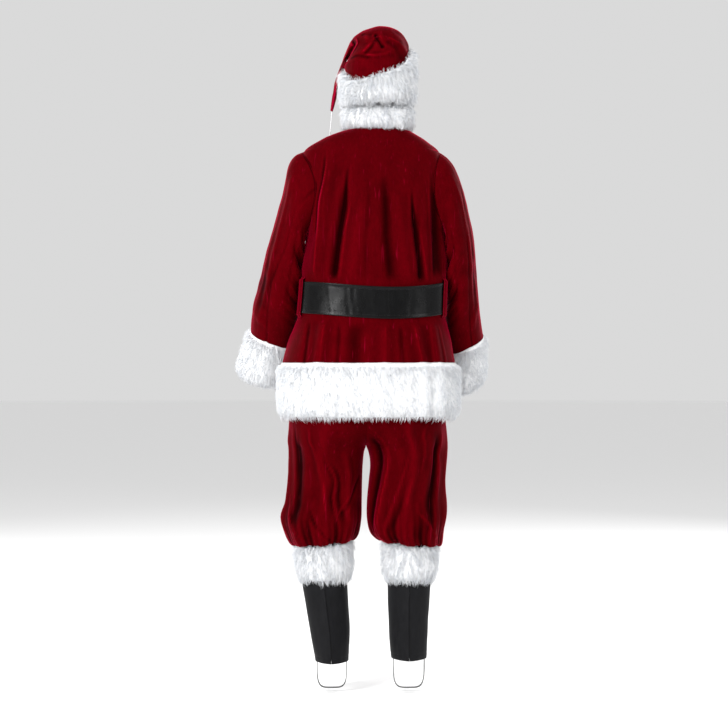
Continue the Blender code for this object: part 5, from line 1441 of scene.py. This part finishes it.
def belt_half_width(angles):
    """Half the belt's width, which rounds off over the tongue's last stretch."""
    tip = np.clip((BELT_END - angles) / BELT_TIP_ANGLE, 0, 1)
    rounded = np.sqrt(1 - (1 - tip) ** 2)
    return BELT_WIDTH / 2 * (BELT_TIP_SHARE + (1 - BELT_TIP_SHARE) * rounded)


def belt_point(angle, share, out):
    """A point of the belt: share runs from its lower edge (-1) to its upper edge (1)."""
    height = belt_height(angle) + share * belt_half_width(angle)
    return around_body(angle, height, belt_outs(angle) + out)


def belt_relief(points, share):
    """Rolled edges, a sewn groove inside each, and creases across the leatherette."""
    side = np.abs(share)
    relief = (BELT_ROLL * step(side, *BELT_ROLL_SHARES)
              - BELT_ROLL_DROP * step(side, *BELT_DROP_SHARES))
    relief = relief - BELT_GROOVE * hump(side - BELT_STITCH_SHARE, BELT_GROOVE_HALF)
    for crease in named(BELT_CREASE_COLUMNS, BELT_CREASE_ROWS):
        slant = points[..., 0] - crease["x"] - share * crease["slant"]
        back = step(points[..., 1], 0.0, 0.05)
        middle = 1 - step(side, 0.80, 0.95)
        relief = relief + crease["rise"] * hump(slant, crease["half_width"]) * back * middle
    return relief + uneven("belt", points)


def stitches(name, points, along, normals):
    """Small raised stitches: each a six-cornered spindle that lies along its seam."""
    across = unit(np.cross(normals, along))
    ends = along[:, None] * np.array([[-1], [1]]) * STITCH_LENGTH / 2
    sides = np.stack([across, normals * 0.6, -across, -normals * 0.6], 1) * STITCH_WIDTH / 2
    corners = np.concatenate([points[:, None] + ends[:, :1], points[:, None] + sides,
                              points[:, None] + ends[:, 1:]], 1)
    ring = np.arange(1, 5)
    following = np.roll(ring, -1)
    faces = np.concatenate([np.stack([np.zeros(4, int), following, ring], 1),
                            np.stack([np.full(4, 5), ring, following], 1)])
    faces = (np.arange(len(points))[:, None, None] * 6 + faces).reshape(-1, 3)
    return face_out(add_mesh(name, corners.reshape(-1, 3), faces, finish("thread"),
                             smooth=False))


def seam_stitches(name, slot, line, normals):
    """Stitches set evenly along a line of points with a normal each."""
    spacing, run = bpy.context.scene.suit_sizes.stitch_spacing, run_along(line)
    places = np.arange(spacing, run[-1] - spacing, spacing)
    spots, ahead, facing = (np.stack([np.interp(spot, run, values[:, i]) for i in range(3)], 1)
                            for spot, values in ((places, line), (places + 1e-3, line),
                                                 (places, normals)))
    dress(stitches(name, spots, unit(ahead - spots), unit(facing)), slot)


def tube_along(line, radius_at, sides):
    """Rings of points round a path: point + radius(s, t) * (cos t side + sin t up)."""
    tangent = unit(np.gradient(line, axis=0))
    side = unit(np.cross(tangent, np.array([0.0, 1.0, 0.0])))
    up = np.cross(side, tangent)
    turn = circle(sides)
    radius = radius_at(turn[None])
    return (line[:, None] + (side[:, None] * np.cos(turn)[None, :, None]
                             + up[:, None] * np.sin(turn)[None, :, None]) * radius[..., None])


# Finishes

def is_link(value):
    return isinstance(value, tuple) and isinstance(value[0], bpy.types.Node)


def feed(tree, node, inputs):
    """Sets a node's inputs, each to a plain value or from a link: (node, name of its output)."""
    for label, value in inputs.items():
        if is_link(value):
            tree.links.new(value[0].outputs[value[1]], node.inputs[label])
        else:
            node.inputs[label].default_value = value


def put(tree, kind, inputs=None, **settings):
    """A new shader node with its settings and inputs."""
    node = tree.nodes.new(f"ShaderNode{kind}")
    for label, value in settings.items():
        setattr(node, label, value)
    feed(tree, node, inputs or {})
    return node


def mixed(tree, factor, low, high, **settings):
    """A link to a mix of two colours, each of them plain or a link."""
    ends = {label: value if is_link(value) else (*value, 1)
            for label, value in (("A", low), ("B", high))}
    return put(tree, "Mix", {"Factor": factor, **ends}, data_type="RGBA", **settings), "Result"


def mapped(tree, value, **limits):
    """A link to a value's place in a new range."""
    limits = {label.replace("_", " "): limit for label, limit in limits.items()}
    return put(tree, "MapRange", {"Value": value, **limits}), "Result"


def object_place(tree, scale=None):
    """A link to Object coordinates, drawn out by a scale for each axis."""
    place = put(tree, "TexCoord"), "Object"
    return (put(tree, "Mapping", {"Vector": place, "Scale": scale}), "Vector") if scale else place


def shade(colour, factor):
    return tuple(min(1.0, channel * factor) for channel in colour)


def build_mottle(tree, given):
    """Mottle: two noises of Object coordinates, the second finer, averaged and stretched."""
    place = object_place(tree, (1.0, 1.0, 0.45))
    broad, fine = ((put(tree, "TexNoise", {"Vector": place, "Scale": (given, label),
                                           "Detail": 3.0}), "Fac")
                   for label in ("Broad Scale", "Fine Scale"))
    total = put(tree, "Math", {0: broad, 1: fine}, operation="ADD")
    return mapped(tree, (total, "Value"), From_Min=0.70, From_Max=1.30)


def build_grain(tree, given):
    """Grain: a cell pattern and a fine noise of Object coordinates, as a bump."""
    place = object_place(tree)
    cells = put(tree, "TexVoronoi", {"Vector": place, "Scale": (given, "Cell Scale")},
                feature="SMOOTH_F1")
    dust = put(tree, "TexNoise", {"Vector": place, "Scale": (given, "Dust Scale"), "Detail": 4.0})
    total = put(tree, "Math", {0: (cells, "Distance"), 1: (dust, "Fac")}, operation="ADD")
    return put(tree, "Bump", {"Height": (total, "Value"), "Strength": (given, "Strength"),
                              "Distance": (given, "Depth")}), "Normal"


def build_crush(tree, given):
    """Crush: sparse, thin, upright streaks from a noise that is drawn out in height."""
    streaks = put(tree, "TexNoise", {"Vector": object_place(tree, (1.0, 1.0, 0.035)),
                                     "Scale": (given, "Streak Scale"), "Detail": 2.0})
    return mapped(tree, (streaks, "Fac"), From_Min=0.64, From_Max=0.82, To_Max=0.5)


# Name: the inputs and their defaults, the output and its socket, what builds it
GROUPS = {
    "Suit Mottle": ({"Broad Scale": 8.0, "Fine Scale": 60.0}, "Mask", "NodeSocketFloat",
                    build_mottle),
    "Suit Grain": ({"Cell Scale": 300.0, "Dust Scale": 900.0, "Strength": 0.3, "Depth": 0.0005},
                   "Normal", "NodeSocketVector", build_grain),
    "Suit Crush": ({"Streak Scale": 150.0}, "Mask", "NodeSocketFloat", build_crush),
}


def grouped(tree, name, *values):
    """A link to a node group that is built when it is first used, with a value an input."""
    inputs, output, socket_type, build = GROUPS[name]
    group = bpy.data.node_groups.get(name)
    if not group:
        group = bpy.data.node_groups.new(name, "ShaderNodeTree")
        for label, default in inputs.items():
            socket = group.interface.new_socket(name=label, in_out="INPUT",
                                                socket_type="NodeSocketFloat")
            socket.default_value = default
        group.interface.new_socket(name=output, in_out="OUTPUT", socket_type=socket_type)
        given, end = group.nodes.new("NodeGroupInput"), group.nodes.new("NodeGroupOutput")
        feed(group, end, {output: build(group, given)})
    return put(tree, "Group", dict(zip(inputs, values)), node_tree=group), output


def velvet_inputs(tree, colours):
    """Crimson velvet: painted shade lies dark in the valleys and a painted highlight lies bright
    on the ridges and where the face turns away from the camera, over mottled patches and crushed
    streaks.
    """
    # Painted shade in the valleys and painted highlight on the ridges, from the nap attribute.
    ramp = put(tree, "ValToRGB", {"Fac": (put(tree, "Attribute", attribute_name="nap"), "Fac")})
    stops = ramp.color_ramp.elements
    (low, dark), *between, high = PAINTED_SHADE_TONES
    stops[0].position, stops[0].color = low, (*shade(colours.velvet, dark), 1)
    stops[1].position, stops[1].color = high, (*colours.velvet_ridge, 1)
    for place, factor in between:
        stops.new(place).color = (*shade(colours.velvet, factor), 1)
    mottle = grouped(tree, "Suit Mottle", 9.0, 140.0)
    patches = mixed(tree, mottle, (0.72, 0.72, 0.72), (1.0, 1.0, 1.0))
    tone = mixed(tree, 1.0, (ramp, "Color"), patches, blend_type="MULTIPLY")
    shaded_and_crushed = mixed(tree, grouped(tree, "Suit Crush"), tone, shade(colours.velvet_ridge, 0.8))
    # Painted sheen: the colour turns to the light ridge colour where the face turns away from the
    # camera.
    rim = put(tree, "LayerWeight", {"Blend": 0.30})
    fade = mapped(tree, (rim, "Facing"), From_Min=0.34, To_Max=0.55)
    return {"Base Color": mixed(tree, fade, shaded_and_crushed, colours.velvet_ridge), "Roughness": 0.70,
            "Specular IOR Level": 0.02, "Specular Tint": (1, 0.05, 0.10, 1),
            "Sheen Weight": 1.0, "Sheen Roughness": 0.25,
            "Sheen Tint": (*colours.velvet_sheen, 1),
            "Normal": grouped(tree, "Suit Grain", 900.0, 1500.0, 0.30, 0.0005)}


def pile_inputs(tree, colours):
    """White pile: grey at the root as painted shade among the strands, white at the tip, each
    strand a little different.
    """
    place = put(tree, "UVMap", uv_map="surface"), "UV"
    split = put(tree, "SeparateXYZ", {"Vector": place})
    # Painted shade: each strand darker towards its root.
    along = mixed(tree, (split, "Y"), shade(colours.fur, 0.93), colours.fur)
    strand = mixed(tree, (split, "X"), (0.76, 0.79, 0.83), (1.0, 1.0, 1.0))
    return {"Base Color": mixed(tree, 1.0, along, strand, blend_type="MULTIPLY"),
            "Roughness": 0.75, "Specular IOR Level": 0.3, "Sheen Weight": 0.3,
            "Sheen Roughness": 0.5}


def knit_inputs(tree, colours):
    """The knitted ground under the pile, seen only where the pile parts."""
    mottle = grouped(tree, "Suit Mottle", 60.0, 400.0)
    return {"Base Color": mixed(tree, mottle, shade(colours.fur, 0.86), shade(colours.fur, 1.0)),
            "Roughness": 0.9, "Specular IOR Level": 0.2,
            "Normal": grouped(tree, "Suit Grain", 500.0, 900.0, 0.8, 0.0015)}


def coated_inputs(tree, colours, colour, roughness, level, cells, strength):
    """Coated cloth: a fine leather grain, duller in patches."""
    colour = getattr(colours, colour)
    mottle = grouped(tree, "Suit Mottle", 14.0, 90.0)
    return {"Base Color": mixed(tree, mottle, shade(colour, 0.8), shade(colour, 1.25)),
            "Roughness": mapped(tree, mottle, To_Min=roughness - 0.05, To_Max=roughness + 0.08),
            "Specular IOR Level": level,
            "Normal": grouped(tree, "Suit Grain", cells, cells * 2.5, strength, 0.0004)}


def woven_inputs(tree, colours, colour, scale):
    """Ribbed elastic: dark and light ribs across its width, on its own UV map."""
    colour = getattr(colours, colour)
    place = put(tree, "UVMap", uv_map="surface"), "UV"
    ribs = put(tree, "TexWave", {"Vector": place, "Scale": scale, "Distortion": 0.4},
               bands_direction="Y"), "Fac"
    bump = put(tree, "Bump", {"Height": ribs, "Strength": 0.4, "Distance": 0.0004})
    return {"Base Color": mixed(tree, ribs, shade(colour, 0.6), shade(colour, 1.3)),
            "Roughness": 0.8, "Specular IOR Level": 0.25, "Sheen Weight": 0.2,
            "Normal": (bump, "Normal")}


def metal_inputs(tree, colours):
    """Gold lacquer on the buckle, with fine wear in its roughness."""
    mottle = grouped(tree, "Suit Mottle", 40.0, 300.0)
    return {"Base Color": (*colours.buckle, 1), "Metallic": 1.0,
            "Roughness": mapped(tree, mottle, To_Min=0.20, To_Max=0.38)}


def floor_inputs(_tree, _colours):
    return {"Base Color": (0.95, 0.95, 0.95, 1), "Roughness": 0.85, "Specular IOR Level": 0.1}


FINISHES = {
    "velvet": (velvet_inputs,),
    "fur": (pile_inputs,),
    "fur_backing": (knit_inputs,),
    "leatherette": (coated_inputs, "leatherette", 0.28, 0.15, 700.0, 0.30),
    "boot_cloth": (coated_inputs, "boots", 0.55, 0.05, 500.0, 0.22),
    "thread": (coated_inputs, "thread", 0.6, 0.10, 2000.0, 0.2),
    "red_elastic": (woven_inputs, "velvet", 14.0),
    "black_elastic": (woven_inputs, "boots", 6.0),
    "cord": (woven_inputs, "fur", 30.0),
    "buckle_metal": (metal_inputs,),
    "floor": (floor_inputs,),
}


def finish(name):
    """The material of that name, made when it is first asked for."""
    material = bpy.data.materials.get(f"suit_{name}")
    if not material:
        material = bpy.data.materials.new(f"suit_{name}")
        material.use_nodes = True
        tree, (inputs_of, *values) = material.node_tree, FINISHES[name]
        feed(tree, tree.nodes["Principled BSDF"],
             inputs_of(tree, bpy.context.scene.suit_colours, *values))
    return material


# Settings

def size_setting(label, text, value, low=0.004, high=0.04, unit="LENGTH"):
    return FloatProperty(name=label, description=text, default=value, min=low, max=high, unit=unit)


def colour_setting(label, text, value):
    return FloatVectorProperty(name=label, description=text, size=3, subtype="COLOR",
                               default=value, min=0, max=1)


class SuitSizes(bpy.types.PropertyGroup):
    """Sizes of the fine forms."""
    pile_density: size_setting("Pile Density", "Share of the full strand count", 1.0, 0.05, 1.0,
                               "NONE")
    strand_width: size_setting("Strand Width", "Width of a strand at its root", 0.0012, 0.0003,
                               0.004)
    hem_pile: size_setting("Hem Pile", "Strand length on hem and cuffs", 0.021)
    collar_pile: size_setting("Collar Pile", "Strand length on collar and hat", 0.024)
    boot_pile: size_setting("Boot Pile", "Strand length on the boot tops", 0.027)
    stitch_spacing: size_setting("Stitch Spacing", "Between machine stitches", 0.0046, 0.002, 0.02)


class SuitColours(bpy.types.PropertyGroup):
    """Colours of the suit's cloths, as linear values."""
    velvet: colour_setting("Velvet", "The velvet's face", (0.078, 0.0002, 0.0018))
    velvet_sheen: colour_setting("Velvet Sheen", "The nap's bright rim", (0.62, 0.005, 0.045))
    # Painted highlight on ridges and grazing edges; also the lighter colour of the crushed
    # streaks.
    velvet_ridge: colour_setting("Velvet Ridge", "Rubbed nap on ridges", (0.30, 0.002, 0.022))
    fur: colour_setting("Fur", "The pile's tips", (0.885, 0.89, 0.90))
    leatherette: colour_setting("Leatherette", "The belt", (0.0015, 0.0015, 0.0017))
    boots: colour_setting("Boot Cloth", "The boot tops", (0.009, 0.009, 0.010))
    buckle: colour_setting("Buckle", "The buckle's lacquer", (0.80, 0.56, 0.20))
    thread: colour_setting("Thread", "Stitches in belt and boots", (0.035, 0.035, 0.037))


# Operators

class SUIT_OT_jacket(bpy.types.Operator):
    """Adds the jacket's back and fronts as creased velvet walls"""
    bl_idname = "suit.jacket"
    bl_label = "Jacket"

    def execute(self, context):
        panels = (
            ("back", side_edge(-1, 1), side_edge(1, 1), BACK_COLUMNS, 1, (-1, 1), None,
             BACK_COLUMNS // 2),
            ("front_left", side_edge(1, -1), front_edge(1), FRONT_COLUMNS, -1, (1, 0), lap_out,
             -1),
            ("front_right", front_edge(-1), side_edge(-1, -1), FRONT_COLUMNS, -1, (0, -1), None,
             0),
        )
        for name, *form, middle in panels:
            velvet_piece(f"jacket_{name}", panel_surface(*form))
        return {"FINISHED"}


class SUIT_OT_sleeves(bpy.types.Operator):
    """Adds both sleeves with their slanting folds"""
    bl_idname = "suit.sleeves"
    bl_label = "Sleeves"

    def execute(self, context):
        for name, side, rows in both_sides(SLEEVE_LEFT_ROWS, SLEEVE_RIGHT_ROWS):
            velvet_piece(f"sleeve_{name}", sleeve_surface(side, rows), ring=True,
                         axes=(0, 1))
        return {"FINISHED"}


class SUIT_OT_breeches(bpy.types.Operator):
    """Adds the legs with their gathered ends, and the ribbed waistband"""
    bl_idname = "suit.breeches"
    bl_label = "Breeches"

    def execute(self, context):
        for name, side, rows in both_sides(LEG_LEFT_ROWS, LEG_RIGHT_ROWS):
            velvet_piece(f"breeches_{name}", leg_surface(side, rows))
        turn = circle(WAISTBAND_COLUMNS)
        rise = np.linspace(0, WAISTBAND_HEIGHT, WAISTBAND_ROWS)[:, None]
        top, inner_x, outer_x, half_depth = LEG_LEFT_ROWS[0][:4]
        half_width = (outer_x - inner_x) / 2
        ribs = WAISTBAND_RIB * np.cos(WAISTBAND_RIBS * turn)[None]
        outer, inner = (at_places(SEAT_CENTRE_X + (half_width + out + ribs) * np.sin(turn)[None],
                                  (half_depth + out + ribs) * np.cos(turn)[None],
                                  top + WAISTBAND_START + rise)
                        for out in (WAISTBAND_HALF, -WAISTBAND_HALF))
        band = wall_mesh("waist_elastic", outer, inner, finish("red_elastic"), ring=True)
        dress(band, "red_elastic", "waistband")
        return {"FINISHED"}


class SUIT_OT_hat(bpy.types.Operator):
    """Adds the hat's folded velvet crown, closed at the tail's tip"""
    bl_idname = "suit.hat"
    bl_label = "Hat Crown"

    def execute(self, context):
        outer, whole_inner, rise, even = crown_surface()
        inner = whole_inner[:-2]
        rows, columns = outer.shape[:2]
        front = np.arange(rows * columns).reshape(rows, columns)
        back = np.arange(inner.shape[0] * columns).reshape(-1, columns) + rows * columns
        points = np.concatenate([outer.reshape(-1, 3), inner.reshape(-1, 3)])
        faces = [grid_quads(front, True), grid_quads(back, True, True),
                 edge_quads(front[0], back[0], True)[:, ::-1],
                 front[-1][None, ::-1], back[-1][None]]
        crown = face_out(add_mesh("velvet_crown", points, faces, finish("velvet")))
        with_painted_shade(crown, outer, whole_inner, True, (0, 1), rise)
        dress(crown, "velvet", "hat_crown")
        return {"FINISHED"}


class SUIT_OT_furs(bpy.types.Operator):
    """Adds every band of fur: backing and pile of hem, cuffs, collar, hat and boot tops"""
    bl_idname = "suit.furs"
    bl_label = "Fur Bands"

    def execute(self, context):
        sizes = context.scene.suit_sizes
        long_pile = dict(length=sizes.hem_pile, lift=0.62, bend=0.45, droop=0.25, turn=0.25,
                         tuft_turn=0.16, tuft=0.0040, gather=0.70)
        wild_pile = dict(long_pile, length=sizes.collar_pile, lift=0.70, tuft_turn=0.5, turn=0.35,
                         droop=0.10, tuft=0.0065, gather=0.55)
        boot_pile = dict(long_pile, length=sizes.boot_pile, lift=0.62, tuft_turn=0.35, tuft=0.006)
        hem = Band(body_path(0.0, -HEM_DROP, -1), HEM_SECTION, closed=False)
        fur_band("hem", "hem_fur", hem, long_pile)
        collar = Band(body_path(NECK_LEVEL, COLLAR_LIFT, 1), COLLAR_SECTION, closed=False)
        fur_band("collar", "collar_fur", collar, wild_pile, way=-1)
        hat = Band(hat_band_path, HAT_BAND_SECTION)
        fur_band("hat", "hat_band", hat, wild_pile, way=-1)
        for name, side, rows in both_sides(SLEEVE_LEFT_ROWS, SLEEVE_RIGHT_ROWS):
            cuff = Band(cuff_path(side, rows), CUFF_SECTION)
            fur_band(f"cuff_{name}", f"cuff_fur_{name}", cuff, long_pile)
        for name, side, rows in both_sides(BOOT_LEFT_ROWS, BOOT_RIGHT_ROWS):
            boot = Band(boot_fur_path(side, Table(BOOT_COLUMNS, rows)), BOOT_FUR_SECTION,
                        clear=BOOT_FUR_CLEAR)
            fur_band(f"boot_{name}", f"boot_fur_{name}", boot, boot_pile, way=-1)
        return {"FINISHED"}


class SUIT_OT_pompom(bpy.types.Operator):
    """Adds the pompom and the twisted cord that carries it"""
    bl_idname = "suit.pompom"
    bl_label = "Pompom and Cord"

    def execute(self, context):
        place = np.arange(POMPOM_STRANDS) + 0.5
        height = 1 - 2 * place / POMPOM_STRANDS
        spin = place * math.pi * (3 - math.sqrt(5))
        flat = np.sqrt(1 - height ** 2)
        normals = at_places(flat * np.cos(spin), flat * np.sin(spin), height)
        core = POMPOM_RADIUS * POMPOM_CORE_SHARE
        centre = np.array(POMPOM_CENTRE)
        lay = unit(np.cross(normals, np.array(POMPOM_LAY_AXIS)))
        look = dict(length=POMPOM_RADIUS * 0.52, lift=1.25, bend=0.35, droop=0.15, turn=1.0,
                    tuft_turn=1.5, tuft=0.008, gather=0.35,
                    width=context.scene.suit_sizes.strand_width * 0.9)
        pile = strand_mesh("pompom_pile", centre + normals * (core - ROOT_DEPTH), normals, lay,
                           look, POMPOM_SEED)
        rings, sides = POMPOM_CORE_GRID
        turn, tilt = circle(sides)[None], np.linspace(0.05, math.pi - 0.05, rings)[:, None]
        ball = at_places(np.sin(tilt) * np.cos(turn), np.sin(tilt) * np.sin(turn), np.cos(tilt))
        ball = tube_mesh("pompom_core", centre + ball * core, finish("fur_backing"))
        route = Table(("x", "y", "h"), CORD_ROUTE)
        places = np.linspace(0, route.last, CORD_RINGS)
        line = np.stack([route.at(name, places) for name in ("x", "y", "h")], -1)
        run = run_along(line)
        twist = run[:, None] * CORD_TWIST
        rings = tube_along(line, lambda turn: CORD_DIAMETER / 2 * (
            1 - CORD_GROOVE * (1 - np.abs(np.cos(1.5 * (turn - twist)))) ** 2), CORD_SIDES)
        u, v = np.meshgrid(np.linspace(0, 1, CORD_SIDES), run * 10)
        cord = tube_mesh("cord", rings, finish("cord"), np.stack([u, v], -1).reshape(-1, 2))
        dress(cord, "white_cord", "hat_cord")
        dress(pile, "white_fur", "hat_pompom")
        dress(ball, "white_fur", "hat_pompom")
        return {"FINISHED"}


class SUIT_OT_belt(bpy.types.Operator):
    """Adds the belt with rolled edges and stitches, and its loops"""
    bl_idname = "suit.belt"
    bl_label = "Belt"

    def execute(self, context):
        angles = np.linspace(BELT_END, BELT_START, BELT_COLUMNS + 1)[:, None]
        shares = np.sin(np.linspace(-math.pi / 2, math.pi / 2, BELT_ROWS + 1))[None]
        face = belt_point(angles, shares, LEATHERETTE)
        relief = belt_relief(face, shares)
        outer = belt_point(angles, shares, LEATHERETTE + relief)
        inner = belt_point(angles, shares, 0.0 * relief)
        belt = wall_mesh("belt_strap", outer, inner, finish("leatherette"))
        dress(belt, "black_leatherette", "belt")
        normals = unit(outer - inner)
        for number, share in enumerate((-BELT_STITCH_SHARE, BELT_STITCH_SHARE)):
            line = belt_point(angles[:, 0], share, LEATHERETTE + 0.0003)
            seam_stitches(f"belt_stitches_{number}", "black_leatherette", line,
                          normals[:, BELT_ROWS // 2])
        for side_name, side in SIDES:
            middle = side * LOOP_ANGLE
            half_angle = LOOP_WIDTH / 2 / SIDE_RADIUS
            across = middle + np.linspace(-half_angle, half_angle, LOOP_COLUMNS)[None]
            up = np.linspace(-1, 1, LOOP_ROWS)[:, None]
            raised = 1 - step(np.abs(up), *LOOP_ENDS)
            over = BELT_LAY + LEATHERETTE + LAY_GAP + LOOP_LIFT
            out = LAY_GAP + (over - LAY_GAP) * raised
            edge = LOOP_CROWN * np.cos((across - middle) / half_angle * math.pi / 2)
            height = float(belt_height(middle)) + up * LOOP_HEIGHT / 2
            outer = around_body(across, height, out + LOOP_THICKNESS + edge)
            inner = around_body(across, height, out + 0 * edge)
            loop = wall_mesh(f"velvet_loop_{side_name}", outer, inner, finish("velvet"))
            dress(loop, "velvet", f"belt_loop_{side_name}")
        return {"FINISHED"}


class SUIT_OT_buckle(bpy.types.Operator):
    """Adds the slide buckle: a rounded frame over the belt and a bar under its tongue"""
    bl_idname = "suit.buckle"
    bl_label = "Buckle"

    def execute(self, context):
        low, high = (np.array(corner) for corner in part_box("belt_buckle"))
        centre, half = (low + high) / 2, (high - low) / 2
        turn = circle(BUCKLE_STEPS)
        bar = BUCKLE_BAR / 2
        cosine, sine = np.cos(turn), np.sin(turn)
        spread = ((np.abs(cosine) ** BUCKLE_SQUARENESS + np.abs(sine) ** BUCKLE_SQUARENESS)
                  ** (-1 / BUCKLE_SQUARENESS))
        line = at_places(centre[0] + (half[0] - bar) * cosine * spread,
                         low[1] + BUCKLE_BAR_DEPTH / 2,
                         centre[2] + NECK_HEIGHT + (half[2] - bar) * sine * spread)
        ends = step(np.abs(sine), 0.80, 0.99)
        line[:, 1] += ends * (high[1] - low[1] - BUCKLE_BAR_DEPTH) * BUCKLE_BOW
        tangent = unit(np.roll(line, -1, axis=0) - np.roll(line, 1, axis=0))
        front = np.array([0.0, -1.0, 0.0])
        side = unit(np.cross(tangent, front))
        round_turn = circle(BAR_SIDES)
        depth = BUCKLE_BAR_DEPTH / 2 * (1 + 1.2 * ends)[:, None]
        rings = (line[:, None] + side[:, None] * (bar * np.cos(round_turn))[None, :, None]
                 + front * (depth * np.sin(round_turn)[None])[..., None])
        ring = tube_mesh("buckle_frame", rings, finish("buckle_metal"), closed=True)
        rise = np.linspace(-1, 1, BAR_STEPS)
        middle = at_places(centre[0], high[1] - BUCKLE_BAR_DEPTH / 2,
                           centre[2] + NECK_HEIGHT + rise * (half[2] - BUCKLE_BAR))
        radius = np.full((BAR_STEPS, BAR_SIDES), BUCKLE_BAR_DEPTH / 2)
        post = tube_along(middle, lambda turn: radius, BAR_SIDES)
        post = tube_mesh("buckle_bar", post, finish("buckle_metal"))
        for piece in (ring, post):
            dress(piece, "buckle_metal", "belt_buckle")
        return {"FINISHED"}


class SUIT_OT_boots(bpy.types.Operator):
    """Adds the boot tops: shafts with a back ridge and turned edge, stitches and stirrups"""
    bl_idname = "suit.boots"
    bl_label = "Boot Tops"

    def execute(self, context):
        gap = SEAM_GAP / 2 / SHAFT_RADIUS
        for side_name, _, rows in both_sides(BOOT_LEFT_ROWS, BOOT_RIGHT_ROWS):
            table = Table(BOOT_COLUMNS, rows)
            levels = np.linspace(0, table.last, SHAFT_ROWS + 1)[:, None]
            share = np.linspace(-1, 1, SHAFT_COLUMNS + 1)[None]
            turns = math.pi + share * (math.pi - gap)
            base = shaft_point(table, turns, levels)
            drop = base[-1:, :, 2] - base[..., 2]
            turned = hump(np.abs(drop) - TURNED_EDGE, TURNED_HALF)
            out = -TURNED_DEPTH * turned + uneven("shaft", base)
            apart = np.abs((turns + math.pi) % TURN - math.pi) * SHAFT_RADIUS
            out = out + (PRESSED_EDGE * np.clip(1 - apart / PRESSED_WIDTH, 0, 1)
                         * step(levels, *PRESSED_LEVELS))
            for crease in named(SHAFT_CREASE_COLUMNS, SHAFT_CREASE_ROWS):
                around = turns / TURN - crease["turn"]
                down = levels - crease["level"] - crease["slant"] * around
                out = out + (crease["rise"] * hump(down, crease["half_level"])
                             * hump(around, crease["half_turn"]))
            outer = shaft_point(table, turns, levels, out)
            inner = shaft_point(table, turns, levels, out - LEATHERETTE)
            shaft = wall_mesh(f"shaft_{side_name}", outer, inner, finish("boot_cloth"))
            dress(shaft, "boot_cloth", f"boot_shaft_{side_name}")
            seam_level = np.interp(TURNED_EDGE, -drop[::-1, 0], levels[::-1, 0])
            line = shaft_point(table, turns[0], np.full_like(turns[0], seam_level), 0.0)
            facing = unit((line - line.mean(0)) * np.array([1, 1, 0]))
            seam_stitches(f"shaft_stitches_{side_name}", "boot_cloth", line, facing)
            strap = make_strap(f"stirrup_{side_name}", table)
            dress(strap, "black_elastic", f"boot_strap_{side_name}")
        return {"FINISHED"}


class SUIT_OT_stage(bpy.types.Operator):
    """Adds the pale floor, the soft lights and the camera"""
    bl_idname = "suit.stage"
    bl_label = "Stage"

    def execute(self, context):
        turn = circle(FLOOR_SIDES)
        rim = at_places(FLOOR_RADIUS * np.cos(turn), FLOOR_RADIUS * np.sin(turn), 0)
        floor = add_mesh("floor", rim, np.arange(FLOOR_SIDES)[None], finish("floor"), smooth=False)
        world = bpy.data.worlds.new("studio")
        world.use_nodes = True
        sky = world.node_tree.nodes["Background"]
        sky.inputs["Color"].default_value = (1.0, 1.0, 1.0, 1)
        sky.inputs["Strength"].default_value = WORLD_STRENGTH
        context.scene.world = world
        context.scene.view_settings.view_transform = "Standard"
        for light in named(LIGHT_COLUMNS, LIGHT_ROWS):
            lamp = bpy.data.lights.new(light["name"], "AREA")
            lamp.shape, lamp.size, lamp.size_y = "RECTANGLE", light["width"], light["height"]
            lamp.energy = light["power"]
            holder = bpy.data.objects.new(light["name"], lamp)
            azimuth = math.radians(light["azimuth"])
            place = np.array([math.sin(azimuth), -math.cos(azimuth), 0.0]) * light["distance"]
            holder.location = (place[0], place[1], light["rise"])
            aim = mathutils.Vector((0, 0, AIM_HEIGHT)) - holder.location
            holder.rotation_euler = aim.to_track_quat("-Z", "Y").to_euler()
            context.scene.collection.objects.link(holder)
        lens = bpy.data.cameras.new("camera")
        lens.sensor_width, lens.lens = SENSOR_WIDTH, LENS
        lens.clip_end = VIEW_END
        camera = bpy.data.objects.new("camera", lens)
        camera.location = CAMERA_PLACE
        camera.rotation_euler = (math.pi / 2, 0, math.pi)
        context.scene.collection.objects.link(camera)
        context.scene.camera = camera
        return {"FINISHED"}


class SUIT_PT_panel(bpy.types.Panel):
    """Lists the suit's settings and its pieces"""
    bl_label = "Santa Suit"
    bl_idname = "SUIT_PT_panel"
    bl_space_type = "VIEW_3D"
    bl_region_type = "UI"
    bl_category = "Santa Suit"

    def draw(self, context):
        for group in (context.scene.suit_sizes, context.scene.suit_colours):
            for name in group.__annotations__:
                self.layout.prop(group, name)
        for operator in OPERATORS:
            self.layout.operator(operator.bl_idname)


OPERATORS = (SUIT_OT_stage, SUIT_OT_pompom, SUIT_OT_jacket, SUIT_OT_sleeves, SUIT_OT_breeches,
             SUIT_OT_hat, SUIT_OT_furs, SUIT_OT_belt, SUIT_OT_buckle, SUIT_OT_boots)
CLASSES = (SuitSizes, SuitColours, *OPERATORS, SUIT_PT_panel)


def register():
    for cls in CLASSES:
        bpy.utils.register_class(cls)
    bpy.types.Scene.suit_sizes = PointerProperty(type=SuitSizes)
    bpy.types.Scene.suit_colours = PointerProperty(type=SuitColours)


def unregister():
    del bpy.types.Scene.suit_colours
    del bpy.types.Scene.suit_sizes
    for cls in reversed(CLASSES):
        bpy.utils.unregister_class(cls)


def main():
    register()
    for operator in OPERATORS:
        group, name = operator.bl_idname.split(".")
        getattr(getattr(bpy.ops, group), name)()


if __name__ == "__main__":
    main()
